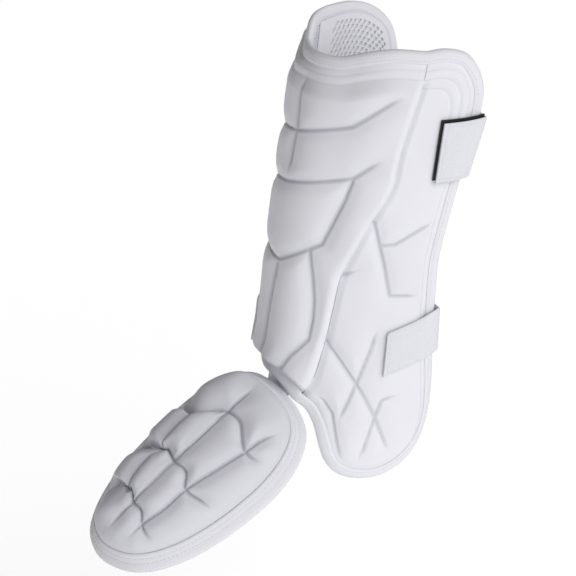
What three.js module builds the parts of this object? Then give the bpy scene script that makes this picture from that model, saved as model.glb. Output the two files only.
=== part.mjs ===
// Left leg guard: a wrapped shin guard with an ankle lobe, two straps and a domed foot guard.
// Units are millimetres. +Z runs up the shin, the shin's front faces -Y and the outside of the
// leg faces +X. The origin is on the leg's centre line, half way up the shin.
import * as THREE from 'three';

// Driving dimensions of the leg that the guard is moulded to
const LEG_HALF_WIDTH = 63;
const LEG_FRONT_DEPTH = 98;
const LEG_REAR_DEPTH = 56;
const LEG_SET_BACK = 22;
const ORIGIN_HEIGHT = 183;
const SHIN_SWELL = 10.5;
const SWELL_OUTER_REACH = 34;
const SWELL_INNER_REACH = 75;

// Shin guard
const GUARD_HEIGHT = 377;
const OUTER_REACH = 130;
const INNER_REACH = 128;
const FRONT_THICKNESS = 16;
const SIDE_THICKNESS = 8.5;
const INNER_THICKNESS = 9;
const COLLAR_THICKNESS = 8.5;
const COLLAR_INNER_THICKNESS = 12;
const COLLAR_THINS_OVER = 40;
const COLLAR_WIDTH = 17;
const EDGE_THICKNESS = 6;
const EDGE_SLOPE = 8;
const COLLAR_SLOPE = 10;
const COLLAR_RISE_START = 0.5;
const WING_SLOPE = 8;
const WING_RISE_START = 0.2;
const GROOVE_HALF_WIDTH = 8;
const GROOVE_DEPTH = 4.5;
const BINDING_WIDTH = 8;
const BINDING_THICKNESS = 6.4;
const BINDING_CLEARANCE = 0.5;
const SHARPEST_CORNER = 0.6;
const LINING_THICKNESS = 1.5;
const CLEARANCE = 0.3;
const SEAM_GAP = 0.36;

// Straps
const STRAP_THICKNESS = 2.4;
const UPPER_STRAP_WIDTH = 50;
const LOWER_STRAP_WIDTH = 40;
const HOOK_THICKNESS = 1.2;
const HOOK_BORDER = 1.9;
const STRAP_STEP = 7;
const STRAP_PROBE = 4.9;
const STRAP_CLEARANCE = 0.6;
const STRAP_PAST_EDGE = 0.1;
const STRAP_TURN = 1.4;
const STRAP_BACK_STEPS = 16;

// Foot guard, in its own frame: along the foot to the toe, across to the outside, up
const FOOT_LENGTH = 180;
const FOOT_OUTER_HALF = 57;
const FOOT_INNER_HALF = 40;
const FOOT_RISE = 26.5;
const FOOT_THICKNESS = 10;
const FLANGE_WIDTH = 17;
const FLANGE_THICKNESS = 4.5;
const FLANGE_OUTER_SLOPE = 40;
const FLANGE_INNER_SLOPE = 70;
const FOOT_GROOVE_HALF_WIDTH = 7;
const FOOT_TURN = 8;
const FOOT_PITCH = 38;
const FOOT_ROLL = 22;
const FOOT_HEEL_ASIDE = 13;
const FOOT_HEEL_FORWARD = 14;
const FOOT_HEEL_DROP = 12;
const FOOT_DOME_FULLNESS = 2.4;
const FOOT_DOME_CENTRE = 0.48;
const FOOT_GROOVE_DEPTH = 5;
const FOOT_GROOVE_FADE = 0.14;

// Elastic link that ties the foot guard to the inside of the shin guard
const LINK_WIDTH = 24;
const LINK_THICKNESS = 2;
const LINK_GAP = 0.6;
const LINK_SEWN_ON_SHIN = 30;
const LINK_HANG = 6;
const LINK_SEWN_ON_FOOT = 24;
const LINK_FOOT_START = 22;
const LINK_UNDER_FLANGE = 2;
const LINK_DOME_SHARE = 0.9;

// Mesh density
const ROWS = 36;
const FRONT_COLUMNS = 14;
const SIDE_COLUMNS = 9;
const INNER_COLUMNS = 7;
const FOOT_ROWS = 26;
const FOOT_COLUMNS = 14;

const table = (names, rows) =>
  rows.map((row) => Object.fromEntries(names.map((name, i) => [name, row[i]])));

// Leg sections from the lobe's lowest point up, as shares of the leg's own sizes
const LEG_SECTIONS = table(['height', 'width', 'front', 'rear', 'back'], [
  [-0.10, 0.70, 0.86, 0.78, 1.00],
  [0.11, 0.73, 0.88, 0.82, 0.95],
  [0.27, 0.79, 0.90, 0.86, 0.91],
  [0.46, 0.86, 0.94, 0.89, 0.91],
  [0.64, 0.92, 0.96, 0.93, 0.95],
  [0.80, 0.97, 0.98, 0.96, 1.00],
  [1.02, 1.00, 1.00, 1.00, 1.05],
]);

// How much of the swell along the shin line there is at each height
const SWELL_SHARES = table(['height', 'share'], [
  [0.20, 1.00], [0.24, 0.97], [0.30, 0.72], [0.40, 0.64], [0.50, 0.62], [0.62, 0.60],
  [0.70, 0.56], [0.78, 0.47], [0.88, 0.44], [1.00, 0.50],
]);

// Flat pattern: side is the share of the outer reach round the leg from the shin's front line,
// inner edges take the inner reach, and height is the share of the guard's height.
const RIDGE = table(['side', 'height'], [
  [0.17, 0.19], [0.22, 0.23], [0.25, 0.28], [0.275, 0.335], [0.30, 0.41],
  [0.325, 0.48], [0.40, 0.565], [0.46, 0.62], [0.54, 0.695], [0.555, 0.76],
  [0.585, 0.83], [0.615, 0.895], [0.64, 0.965],
]);
const REAR_EDGE = table(['side', 'height'], [
  [0.957, 0.16], [0.93, 0.24], [0.885, 0.34], [0.865, 0.44], [0.85, 0.53],
  [0.873, 0.62], [0.905, 0.71], [0.94, 0.79], [0.97, 0.86], [0.966, 0.905], [0.928, 0.937],
]);
const LOBE_EDGE = table(['side', 'height'], [
  [0.17, 0.19], [0.235, 0.172], [0.295, 0.135], [0.34, 0.09], [0.385, 0.05], [0.45, 0.027],
  [0.53, 0.020], [0.61, 0.019], [0.70, 0.025], [0.79, 0.042], [0.875, 0.071], [0.935, 0.11],
  [0.957, 0.16],
]);
const SIDE_TOP = table(['side', 'height'], [
  [0.64, 0.965], [0.74, 0.973], [0.85, 0.966], [0.928, 0.937],
]);
const FRONT_TOP = table(['side', 'height'], [
  [-0.36, 0.965], [-0.30, 0.958], [-0.255, 0.936], [-0.20, 0.919], [0, 0.918], [0.17, 0.925],
  [0.32, 0.947], [0.46, 0.962], [0.64, 0.965],
]);
const FRONT_BOTTOM = table(['side', 'height'], [
  [-0.36, 0.226], [-0.23, 0.230], [-0.08, 0.235], [0.04, 0.235], [0.12, 0.215], [0.17, 0.19],
]);
const FRONT_INNER_EDGE = table(['side', 'height'], [[-0.36, 0.226], [-0.36, 0.965]]);
const WING_TOP = table(['side', 'height'], [
  [0.366, 0.965], [0.43, 0.968], [0.62, 0.970], [0.80, 0.957], [0.94, 0.922], [1.01, 0.855],
]);
const WING_REAR = table(['side', 'height'], [
  [0.83, 0.34], [0.82, 0.46], [0.86, 0.60], [0.93, 0.72], [0.99, 0.80], [1.01, 0.855],
]);
const WING_BOTTOM = table(['side', 'height'], [
  [0.366, 0.226], [0.46, 0.235], [0.60, 0.26], [0.76, 0.29], [0.83, 0.34],
]);

// Moulded grooves of the shin guard: the share of the groove depth, then side and height shares
const GROOVES = table(['deep', 'path'], [
  [0.9, [[-0.005, 0.90], [0.01, 0.782], [0, 0.668]]],
  [0.9, [[-0.32, 0.735], [-0.2, 0.755], [0, 0.772], [0.285, 0.814], [0.538, 0.902]]],
  [0.9, [[-0.32, 0.62], [-0.21, 0.639], [0, 0.66], [0.323, 0.706], [0.485, 0.764]]],
  [1, [
    [0.323, 0.70], [0.30, 0.66], [0.208, 0.549], [0.154, 0.533], [0.008, 0.485],
    [-0.15, 0.491], [-0.32, 0.50],
  ]],
  [0.9, [[0.008, 0.475], [-0.015, 0.385], [-0.025, 0.286], [-0.05, 0.225]]],
  [0.8, [
    [0.154, 0.533], [0.185, 0.469], [0.20, 0.424], [0.202, 0.379], [0.19, 0.33], [0.115, 0.284],
    [0.077, 0.245],
  ]],
  [0.45, [[0.469, 0.61], [0.515, 0.56], [0.554, 0.52], [0.615, 0.446], [0.83, 0.446]]],
  [0.45, [
    [0.277, 0.326], [0.362, 0.286], [0.469, 0.233], [0.523, 0.204], [0.60, 0.157], [0.738, 0.053],
  ]],
  [0.45, [[0.569, 0.379], [0.538, 0.321], [0.469, 0.233], [0.438, 0.196], [0.377, 0.127]]],
  [0.45, [[0.777, 0.212], [0.638, 0.194], [0.608, 0.154], [0.523, 0.032]]],
]);

// Foot guard plan from the heel end to the toe, with the half widths as shares of their sizes
const FOOT_PLAN = table(['along', 'outer', 'inner'], [
  [0, 0, 0], [0.02, 0.44, 0.50], [0.07, 0.72, 0.70], [0.16, 0.90, 0.86], [0.30, 1, 0.95],
  [0.48, 0.99, 0.96], [0.66, 0.90, 0.91], [0.80, 0.76, 0.79], [0.91, 0.56, 0.59],
  [0.97, 0.34, 0.37], [1, 0, 0],
]);
// Foot guard grooves: the share of their depth, then shares of the length and the half width
const FOOT_GROOVES = table(['deep', 'path'], [
  [0.8, [
    [0.04, 0], [0.21, 0.03], [0.36, 0.05], [0.55, 0.04], [0.68, 0.05], [0.815, 0.03],
    [0.97, 0.03],
  ]],
  [0.8, [
    [0.12, 0.92], [0.21, 0.73], [0.295, 0.66], [0.44, 0.58], [0.61, 0.50], [0.74, 0.53],
    [0.855, 0.52], [0.94, 0.70],
  ]],
  [0.8, [[0.28, -0.58], [0.36, -0.62], [0.46, -0.60], [0.57, -0.52], [0.68, -0.52], [0.83, -0.44]]],
  [1, [[0.21, 0.03], [0.21, 0.28], [0.295, 0.66], [0.275, 0.99]]],
  [1, [[0.55, 0.04], [0.55, 0.28], [0.61, 0.50], [0.595, 0.78], [0.585, 0.99]]],
  [1, [[0.815, 0.03], [0.815, 0.28], [0.855, 0.52], [0.87, 0.78], [0.86, 0.99]]],
  [1, [[0.21, 0.03], [0.225, -0.20], [0.28, -0.58], [0.30, -0.99]]],
  [1, [[0.55, 0.04], [0.535, -0.28], [0.57, -0.52], [0.59, -0.99]]],
  [1, [[0.815, 0.03], [0.80, -0.25], [0.83, -0.44], [0.845, -0.99]]],
]);

// Strap courses: where each strap starts on the outside and where it is sewn on inside, with
// the heights of its middle there and at the two rear edges, as shares of the flat pattern
const UPPER_COURSE = {
  tab: { side: 0.777, height: 0.777 }, outerEdge: 0.787, innerEdge: 0.785,
  anchor: { side: 0.55, height: 0.785 },
};
const LOWER_COURSE = {
  tab: { side: 0.62, height: 0.31 }, outerEdge: 0.362, innerEdge: 0.368,
  anchor: { side: 0.2, height: 0.292 },
};

const clamp = THREE.MathUtils.clamp;
const smooth = (value) => THREE.MathUtils.smoothstep(value, 0, 1);
const radians = THREE.MathUtils.degToRad;
const mix = THREE.MathUtils.lerp;

// Reads a column of a table at a value of its key column, on straight stretches
function lookUp(rows, key, name, value) {
  const last = rows.length - 1;
  if (value <= rows[0][key]) return rows[0][name];
  if (value >= rows[last][key]) return rows[last][name];
  const i = rows.findIndex((row) => row[key] > value);
  const [a, b] = [rows[i - 1], rows[i]];
  return a[name] + ((b[name] - a[name]) * (value - a[key])) / (b[key] - a[key]);
}

// The leg: half ellipses in front and behind, measured round its girth from the shin line
const GIRTH_STEPS = 240;
const sections = new Map();
function legSection(height) {
  const key = Math.round(height * 20);
  if (sections.has(key)) return sections.get(key);
  const share = height / GUARD_HEIGHT;
  const size = (name) => lookUp(LEG_SECTIONS, 'height', name, share);
  const width = LEG_HALF_WIDTH * size('width');
  const front = LEG_FRONT_DEPTH * size('front');
  const rear = LEG_REAR_DEPTH * size('rear');
  const centre = LEG_SET_BACK * size('back');
  const points = [];
  let run = 0;
  for (let i = 0; i <= GIRTH_STEPS; i++) {
    const turn = (Math.PI * i) / GIRTH_STEPS;
    const depth = turn < Math.PI / 2 ? front : rear;
    const x = width * Math.sin(turn);
    const y = centre - depth * Math.cos(turn);
    const normal = new THREE.Vector2(Math.sin(turn) / width, -Math.cos(turn) / depth).normalize();
    if (i > 0) run += Math.hypot(x - points[i - 1].x, y - points[i - 1].y);
    points.push({ x, y, run, normal });
  }
  const section = { points, half: run };
  sections.set(key, section);
  return section;
}

// The leg swells forward of its section along the shin line, most of all at the instep
function shinSwell(reach, height) {
  const share = lookUp(SWELL_SHARES, 'height', 'share', height / GUARD_HEIGHT);
  const inner = smooth((SWELL_INNER_REACH + reach) / (SWELL_INNER_REACH - SWELL_OUTER_REACH));
  return SHIN_SWELL * share * inner * (1 - smooth(reach / SWELL_OUTER_REACH));
}

// Wraps a point of the flat pattern onto the leg, standing off its surface
function wrap(reach, height, standOff) {
  const { points, half } = legSection(height);
  const around = ((reach % (2 * half)) + 3 * half) % (2 * half) - half;
  const run = Math.abs(around);
  const sign = around < 0 ? -1 : 1;
  const off = standOff + shinSwell(around, height);
  const next = clamp(points.findIndex((point) => point.run >= run), 1, GIRTH_STEPS);
  const [a, b] = [points[next - 1], points[next]];
  const t = (run - a.run) / (b.run - a.run);
  const normal = a.normal.clone().lerp(b.normal, t).normalize();
  const x = a.x + (b.x - a.x) * t + normal.x * off;
  const y = a.y + (b.y - a.y) * t + normal.y * off;
  return new THREE.Vector3(sign * x, y, height - ORIGIN_HEIGHT);
}

// Flat pattern curves in millimetres
const outward = (rows) => rows.map((row) => [row.side * OUTER_REACH, row.height * GUARD_HEIGHT]);
const inward = (rows) => rows.map((row) => [-row.side * INNER_REACH, row.height * GUARD_HEIGHT]);

// A smooth curve through flat points, sampled evenly along its length
function sampleCurve(points, count) {
  const curve = new THREE.CatmullRomCurve3(
    points.map(([x, y]) => new THREE.Vector3(x, y, 0)), false, 'centripetal');
  return curve.getSpacedPoints(count).map((p) => [p.x, p.y]);
}

// A four sided patch filled from its left, right, bottom and top curves
function patchGrid(left, right, bottom, top, columns, rows) {
  const [l, r] = [sampleCurve(left, rows), sampleCurve(right, rows)];
  const [b, t] = [sampleCurve(bottom, columns), sampleCurve(top, columns)];
  const at = (i, j) => [0, 1].map((k) => {
    const [u, v] = [i / columns, j / rows];
    const edges = (1 - u) * l[j][k] + u * r[j][k] + (1 - v) * b[i][k] + v * t[i][k];
    const low = (1 - u) * (1 - v) * b[0][k] + u * (1 - v) * b[columns][k];
    const high = (1 - u) * v * t[0][k] + u * v * t[columns][k];
    return edges - low - high;
  });
  return Array.from({ length: rows + 1 }, (_, j) =>
    Array.from({ length: columns + 1 }, (_, i) => at(i, j)));
}

const frontGrid = patchGrid(
  outward(FRONT_INNER_EDGE), outward(RIDGE), outward(FRONT_BOTTOM), outward(FRONT_TOP),
  FRONT_COLUMNS, ROWS);
const sideGrid = patchGrid(
  outward(RIDGE), outward(REAR_EDGE), outward(LOBE_EDGE), outward(SIDE_TOP), SIDE_COLUMNS, ROWS);
// The wing starts on the front pad's inner edge, so its first curve is that edge
const wingStart = outward(FRONT_INNER_EDGE);
const wingGrid = patchGrid(
  wingStart, inward(WING_REAR),
  [wingStart[0], ...inward(WING_BOTTOM).slice(1)], [wingStart[1], ...inward(WING_TOP).slice(1)],
  INNER_COLUMNS, ROWS);

// The guard's outline, once round: up the wing's rear edge and back round the lobe
const rim = [
  ...wingGrid.map((row) => row[INNER_COLUMNS]),
  ...wingGrid[ROWS].slice(0, -1).reverse(),
  ...frontGrid[ROWS].slice(1),
  ...sideGrid[ROWS].slice(1),
  ...sideGrid.slice(0, -1).reverse().map((row) => row[SIDE_COLUMNS]),
  ...sideGrid[0].slice(0, -1).reverse(),
  ...frontGrid[0].slice(0, -1).reverse(),
  ...wingGrid[0].slice(1, -1),
];

function distanceTo(path, [x, y], closed) {
  let best = Infinity;
  const count = closed ? path.length : path.length - 1;
  for (let i = 0; i < count; i++) {
    const [a, b] = [path[i], path[(i + 1) % path.length]];
    const [dx, dy] = [b[0] - a[0], b[1] - a[1]];
    const t = clamp(((x - a[0]) * dx + (y - a[1]) * dy) / (dx * dx + dy * dy || 1), 0, 1);
    best = Math.min(best, Math.hypot(a[0] + dx * t - x, a[1] + dy * t - y));
  }
  return best;
}

const groovePaths = GROOVES.map(({ deep, path }) => ({
  depth: deep * GROOVE_DEPTH,
  path: path.map(([side, height]) => [side * OUTER_REACH, height * GUARD_HEIGHT]),
}));
const grooveDepth = (point) => Math.max(0, ...groovePaths.map(({ depth, path }) =>
  depth * (1 - smooth(distanceTo(path, point) / GROOVE_HALF_WIDTH))));

const topEdge = [...wingGrid[ROWS].slice().reverse(), ...frontGrid[ROWS], ...sideGrid[ROWS]];
const ridgeLine = sideGrid.map((row) => row[0]);
// How far round the leg a line that climbs the guard lies at a height
function reachAt(line, height) {
  const found = line.findIndex((p) => p[1] > height);
  const i = clamp(found < 0 ? line.length : found, 1, line.length - 1);
  const [a, b] = [line[i - 1], line[i]];
  return a[0] + (b[0] - a[0]) * clamp((height - a[1]) / (b[1] - a[1]), 0, 1);
}
const frontStart = FRONT_INNER_EDGE[0].side * OUTER_REACH;

// How thick each pad is at a point of the flat pattern
function bevelled(point, thickness) {
  const rise = smooth(distanceTo(rim, point, true) / EDGE_SLOPE);
  return EDGE_THICKNESS + (thickness - EDGE_THICKNESS) * rise - grooveDepth(point) * rise;
}
function frontThickness(point) {
  const belowCollar = (distanceTo(topEdge, point) - COLLAR_WIDTH) / COLLAR_SLOPE;
  const fromWing = (point[0] - frontStart) / WING_SLOPE;
  const onBlock = smooth(belowCollar + COLLAR_RISE_START);
  const outside = smooth(0.5 + point[0] / COLLAR_THINS_OVER);
  const collar = mix(COLLAR_INNER_THICKNESS, COLLAR_THICKNESS, outside);
  const full = mix(collar, FRONT_THICKNESS, onBlock);
  return bevelled(point, mix(INNER_THICKNESS, full, smooth(fromWing + WING_RISE_START)));
}
const sideThickness = (point) => bevelled(point, SIDE_THICKNESS);
const wingThickness = (point) => bevelled(point, INNER_THICKNESS);
function padThickness(point) {
  if (point[0] < frontStart) return wingThickness(point);
  return point[0] < reachAt(ridgeLine, point[1]) ? frontThickness(point) : sideThickness(point);
}

// Closes a grid of inner and outer points into one solid; a ring grid joins its last column
function solidFromGrid(outer, inner) {
  const [rows, columns] = [outer.length, outer[0].length];
  const vertices = [...outer.flat(), ...inner.flat()];
  const id = (layer, j, i) => layer * rows * columns + j * columns + i;
  const faces = [];
  const quad = (a, b, c, d) => faces.push(a, b, c, a, c, d);
  for (let j = 0; j < rows - 1; j++) {
    for (let i = 0; i < columns - 1; i++) {
      quad(id(0, j, i), id(0, j, i + 1), id(0, j + 1, i + 1), id(0, j + 1, i));
      quad(id(1, j, i), id(1, j + 1, i), id(1, j + 1, i + 1), id(1, j, i + 1));
    }
    quad(id(0, j, 0), id(0, j + 1, 0), id(1, j + 1, 0), id(1, j, 0));
    const end = columns - 1;
    quad(id(0, j + 1, end), id(0, j, end), id(1, j, end), id(1, j + 1, end));
  }
  for (let i = 0; i < columns - 1; i++) {
    quad(id(0, 0, i + 1), id(0, 0, i), id(1, 0, i), id(1, 0, i + 1));
    quad(id(0, rows - 1, i), id(0, rows - 1, i + 1), id(1, rows - 1, i + 1), id(1, rows - 1, i));
  }
  return facedOutward(vertices, faces);
}

// A closed ring of sections, each a loop of the same number of points
function solidFromLoops(loops) {
  const [count, sides] = [loops.length, loops[0].length];
  const faces = [];
  for (let k = 0; k < count; k++) {
    for (let m = 0; m < sides; m++) {
      const [a, b] = [k * sides + m, k * sides + ((m + 1) % sides)];
      const [c, d] = [((k + 1) % count) * sides + ((m + 1) % sides), ((k + 1) % count) * sides + m];
      faces.push(a, b, c, a, c, d);
    }
  }
  return facedOutward(loops.flat(), faces);
}

// Turns the faces out when the volume that they enclose comes out negative
function facedOutward(vertices, faces) {
  let volume = 0;
  for (let f = 0; f < faces.length; f += 3) {
    const [a, b, c] = [vertices[faces[f]], vertices[faces[f + 1]], vertices[faces[f + 2]]];
    volume += a.dot(new THREE.Vector3().crossVectors(b, c));
  }
  const index = volume > 0 ? faces : faces.slice().reverse();
  const geometry = new THREE.BufferGeometry();
  geometry.setAttribute('position', new THREE.Float32BufferAttribute(
    vertices.flatMap((v) => [v.x, v.y, v.z]), 3));
  geometry.setIndex(index);
  geometry.computeVertexNormals();
  return geometry;
}

const halfGap = SEAM_GAP / 2;

// A pad on the leg, drawn in from its grid's first and last columns to leave a clearance
function wrappedPad(grid, thickness, drawnIn) {
  const last = grid[0].length - 1;
  const shift = (i) => (i === 0 ? drawnIn.first : i === last ? drawnIn.last : 0);
  const outer = grid.map((row) => row.map((p, i) => wrap(p[0] + shift(i), p[1], thickness(p))));
  const inner = grid.map((row) => row.map((p, i) => wrap(p[0] + shift(i), p[1], 0)));
  return solidFromGrid(outer, inner);
}

// The lining lies on a pad's inner face
function liningUnder(grid) {
  const layer = (off) => grid.map((row) => row.map(([s, h], i) =>
    wrap(s - (i === 0 ? halfGap : 0), h, off)));
  return solidFromGrid(layer(-CLEARANCE), layer(-CLEARANCE - LINING_THICKNESS));
}

// The binding's section, a flat oval, as shares out of the outline and off the leg
const BINDING_SECTION = table(['out', 'off'], [
  [-0.5, -0.3], [-0.5, 0.3], [-0.15, 0.5], [0.3, 0.4], [0.5, 0], [0.3, -0.4], [-0.15, -0.5],
]);
function outlineNormals(path) {
  const count = path.length;
  let area = 0;
  path.forEach(([x, y], i) => {
    const [nx, ny] = path[(i + 1) % count];
    area += x * ny - nx * y;
  });
  const turn = area > 0 ? 1 : -1;
  return path.map((_, i) => {
    const [a, b, c] = [path[(i + count - 1) % count], path[i], path[(i + 1) % count]];
    const first = new THREE.Vector2(b[1] - a[1], a[0] - b[0]).normalize();
    const second = new THREE.Vector2(c[1] - b[1], b[0] - c[0]).normalize();
    const mid = first.clone().add(second).normalize();
    return mid.multiplyScalar(turn / Math.max(mid.dot(first), SHARPEST_CORNER));
  });
}
function edgeBinding() {
  const normals = outlineNormals(rim);
  const loops = rim.map(([x, y], i) => BINDING_SECTION.map(({ out, off }) => {
    const step = BINDING_CLEARANCE + (out + 0.5) * BINDING_WIDTH;
    const height = EDGE_THICKNESS / 2 + off * BINDING_THICKNESS;
    return wrap(x + normals[i].x * step, y + normals[i].y * step, height);
  }));
  return solidFromLoops(loops);
}

const outerRear = sideGrid.map((row) => row[SIDE_COLUMNS]);
const innerRear = wingGrid.map((row) => row[INNER_COLUMNS]);
// A strap lies on the thickest place that it crosses and stands clear of it
function highestUnder(reach, height, width) {
  let highest = 0;
  for (const side of [-1, 0, 1]) {
    for (const up of [-0.5, -0.25, 0, 0.25, 0.5]) {
      const point = [reach + side * STRAP_PROBE, height + up * width];
      const onPads = point[0] > reachAt(innerRear, point[1]) && point[0] < reachAt(outerRear, point[1]);
      highest = Math.max(highest, onPads ? padThickness(point) : EDGE_THICKNESS);
    }
  }
  return highest;
}
const pastEdge = BINDING_CLEARANCE + BINDING_WIDTH + STRAP_PAST_EDGE;
const overBinding = (EDGE_THICKNESS + BINDING_THICKNESS) / 2;

// Stations of a flat band that lies on the pads between two points of the flat pattern
function lieOnPads({ from, to, width, ups, thickness, rise }) {
  const steps = Math.max(2, Math.round(Math.abs(to.reach(0) - from.reach(0)) / STRAP_STEP));
  return Array.from({ length: steps + 1 }, (_, i) => {
    const share = i / steps;
    const middle = mix(from.height, to.height, share);
    const centre = mix(from.reach(0), to.reach(0), share);
    const rest = Math.max(highestUnder(centre, middle, width), overBinding);
    const under = rest + STRAP_CLEARANCE + rise(share);
    return ups.map((up) => {
      const reach = mix(from.reach(up), to.reach(up), share);
      return [wrap(reach, middle + up, under + thickness), wrap(reach, middle + up, under)];
    });
  });
}
// Stations of the taut stretch behind the leg: round one rear edge, across and round the other
function crossBehind(before, after, thickness) {
  const [last, next] = [before.length - 1, 0];
  return Array.from({ length: STRAP_BACK_STEPS - 1 }, (_, i) => before[last].map((start, k) => {
    const leave = start[1].clone().sub(before[last - 1][k][1]).setZ(0).setLength(STRAP_TURN);
    const arrive = after[next + 1][k][1].clone().sub(after[next][k][1]).setZ(0).setLength(STRAP_TURN);
    const curve = new THREE.CubicBezierCurve3(
      start[1], start[1].clone().add(leave), after[next][k][1].clone().sub(arrive), after[next][k][1]);
    const share = (i + 1) / STRAP_BACK_STEPS;
    const at = curve.getPoint(share);
    const way = curve.getTangent(share);
    const out = new THREE.Vector3(way.y, -way.x, 0).setLength(thickness);
    return [at.clone().add(out), at];
  }));
}
function solidFromStations(stations) {
  const layer = (k) => stations.map((station) => station.map((pair) => pair[k]));
  return solidFromGrid(layer(0), layer(1));
}
const acrossBand = (low, high) => [low, (low + high) / 2, high];
const tabPoint = (course, shift) => ({
  height: course.tab.height * GUARD_HEIGHT, reach: () => course.tab.side * OUTER_REACH - shift,
});
const outerEdgePoint = (course) => {
  const height = course.outerEdge * GUARD_HEIGHT;
  return { height, reach: (up) => reachAt(outerRear, height + up) + pastEdge };
};
const innerEdgePoint = (course) => {
  const height = course.innerEdge * GUARD_HEIGHT;
  return { height, reach: (up) => reachAt(innerRear, height + up) - pastEdge };
};
const anchorPoint = (course) => ({
  height: course.anchor.height * GUARD_HEIGHT, reach: () => -course.anchor.side * INNER_REACH,
});
// A whole strap, from its free tab round the back to where it is sewn on
function strap(course, width, rise) {
  const ups = acrossBand(-width / 2, width / 2);
  const common = { width, ups, thickness: STRAP_THICKNESS };
  const tab = lieOnPads({ from: tabPoint(course, 0), to: outerEdgePoint(course), rise, ...common });
  const sewn = lieOnPads({
    from: innerEdgePoint(course), to: anchorPoint(course), rise: () => 0, ...common,
  });
  return solidFromStations([...tab, ...crossBehind(tab, sewn, STRAP_THICKNESS), ...sewn]);
}
// The hook patch under the upper tab shows past its free end and its top edge
const hookLift = HOOK_THICKNESS + CLEARANCE;
const hookPatch = () => solidFromStations(lieOnPads({
  from: tabPoint(UPPER_COURSE, HOOK_BORDER), to: outerEdgePoint(UPPER_COURSE),
  width: UPPER_STRAP_WIDTH, thickness: HOOK_THICKNESS, rise: () => 0,
  ups: acrossBand(HOOK_BORDER - UPPER_STRAP_WIDTH / 2, HOOK_BORDER + UPPER_STRAP_WIDTH / 2),
}));

// The foot guard's frame, placed from the middle of the shin guard's lower front edge
const [turn, pitch, roll] = [radians(FOOT_TURN), radians(FOOT_PITCH), radians(FOOT_ROLL)];
const along = new THREE.Vector3(
  Math.sin(turn) * Math.cos(pitch), -Math.cos(turn) * Math.cos(pitch), -Math.sin(pitch));
const level = new THREE.Vector3(Math.cos(turn), Math.sin(turn), 0);
const square = new THREE.Vector3().crossVectors(along, level);
const across = level.clone().multiplyScalar(Math.cos(roll)).addScaledVector(square, -Math.sin(roll));
const above = square.clone().multiplyScalar(Math.cos(roll)).addScaledVector(level, Math.sin(roll));
const shinFoot = lookUp(FRONT_BOTTOM, 'side', 'height', 0) * GUARD_HEIGHT;
const heel = wrap(0, shinFoot, 0)
  .add(new THREE.Vector3(FOOT_HEEL_ASIDE, -FOOT_HEEL_FORWARD, -FOOT_HEEL_DROP));
const onFoot = (x, y, z) => heel.clone()
  .addScaledVector(along, x).addScaledVector(across, y).addScaledVector(above, z);

const footHalf = (side) => (side < 0 ? FOOT_INNER_HALF : FOOT_OUTER_HALF);
const widthName = (side) => (side < 0 ? 'inner' : 'outer');
const planSide = (side) => FOOT_PLAN.map((row) => new THREE.Vector3(
  row.along * FOOT_LENGTH, side * row[widthName(side)] * footHalf(side), 0));
const planCurve = new THREE.CatmullRomCurve3(
  [...planSide(1), ...planSide(-1).slice(1, -1).reverse()], true, 'centripetal');
const footMiddle = [FOOT_LENGTH * FOOT_DOME_CENTRE, 0];
const planPoints = planCurve.getSpacedPoints(240).slice(0, -1).map((p) => {
  const [x, y] = [p.x - footMiddle[0], p.y - footMiddle[1]];
  return { bearing: Math.atan2(y, x), reach: Math.hypot(x, y) };
}).sort((a, b) => a.bearing - b.bearing);
const [firstPoint, lastPoint] = [planPoints[0], planPoints[planPoints.length - 1]];
const wholeTurn = [
  { ...lastPoint, bearing: lastPoint.bearing - 2 * Math.PI }, ...planPoints,
  { ...firstPoint, bearing: firstPoint.bearing + 2 * Math.PI },
];
// A square grid bent onto the plan, with each point's share of the way out to the outline
const footGrid = Array.from({ length: FOOT_ROWS + 1 }, (_, j) =>
  Array.from({ length: FOOT_COLUMNS + 1 }, (_, i) => {
    const [u, v] = [(2 * j) / FOOT_ROWS - 1, (2 * i) / FOOT_COLUMNS - 1];
    const [x, y] = [u * Math.sqrt(1 - (v * v) / 2), v * Math.sqrt(1 - (u * u) / 2)];
    const share = Math.min(1, Math.hypot(x, y));
    const bearing = Math.atan2(y, x);
    const reach = share * lookUp(wholeTurn, 'bearing', 'reach', bearing);
    const [ahead, aside] = [reach * Math.cos(bearing), reach * Math.sin(bearing)];
    return { x: footMiddle[0] + ahead, y: footMiddle[1] + aside, share };
  }));
const footOutline = [
  ...footGrid.map((row) => row[0]),
  ...footGrid[FOOT_ROWS].slice(1),
  ...footGrid.slice(0, -1).reverse().map((row) => row[FOOT_COLUMNS]),
  ...footGrid[0].slice(1, -1).reverse(),
].map(({ x, y }) => [x, y]);
const footNormals = outlineNormals(footOutline);
const footGrooves = FOOT_GROOVES.map(({ deep, path }) => ({
  depth: deep * FOOT_GROOVE_DEPTH,
  path: path.map(([x, y]) =>
    [x * FOOT_LENGTH, y * lookUp(FOOT_PLAN, 'along', widthName(y), x) * footHalf(y)]),
}));
const domeProfile = (r) => Math.max(0, 1 - r ** FOOT_DOME_FULLNESS) ** (1 / FOOT_DOME_FULLNESS);
const footGroove = (point) => Math.max(...footGrooves.map(({ depth, path }) =>
  depth * (1 - smooth(distanceTo(path, point) / FOOT_GROOVE_HALF_WIDTH))));

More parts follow.
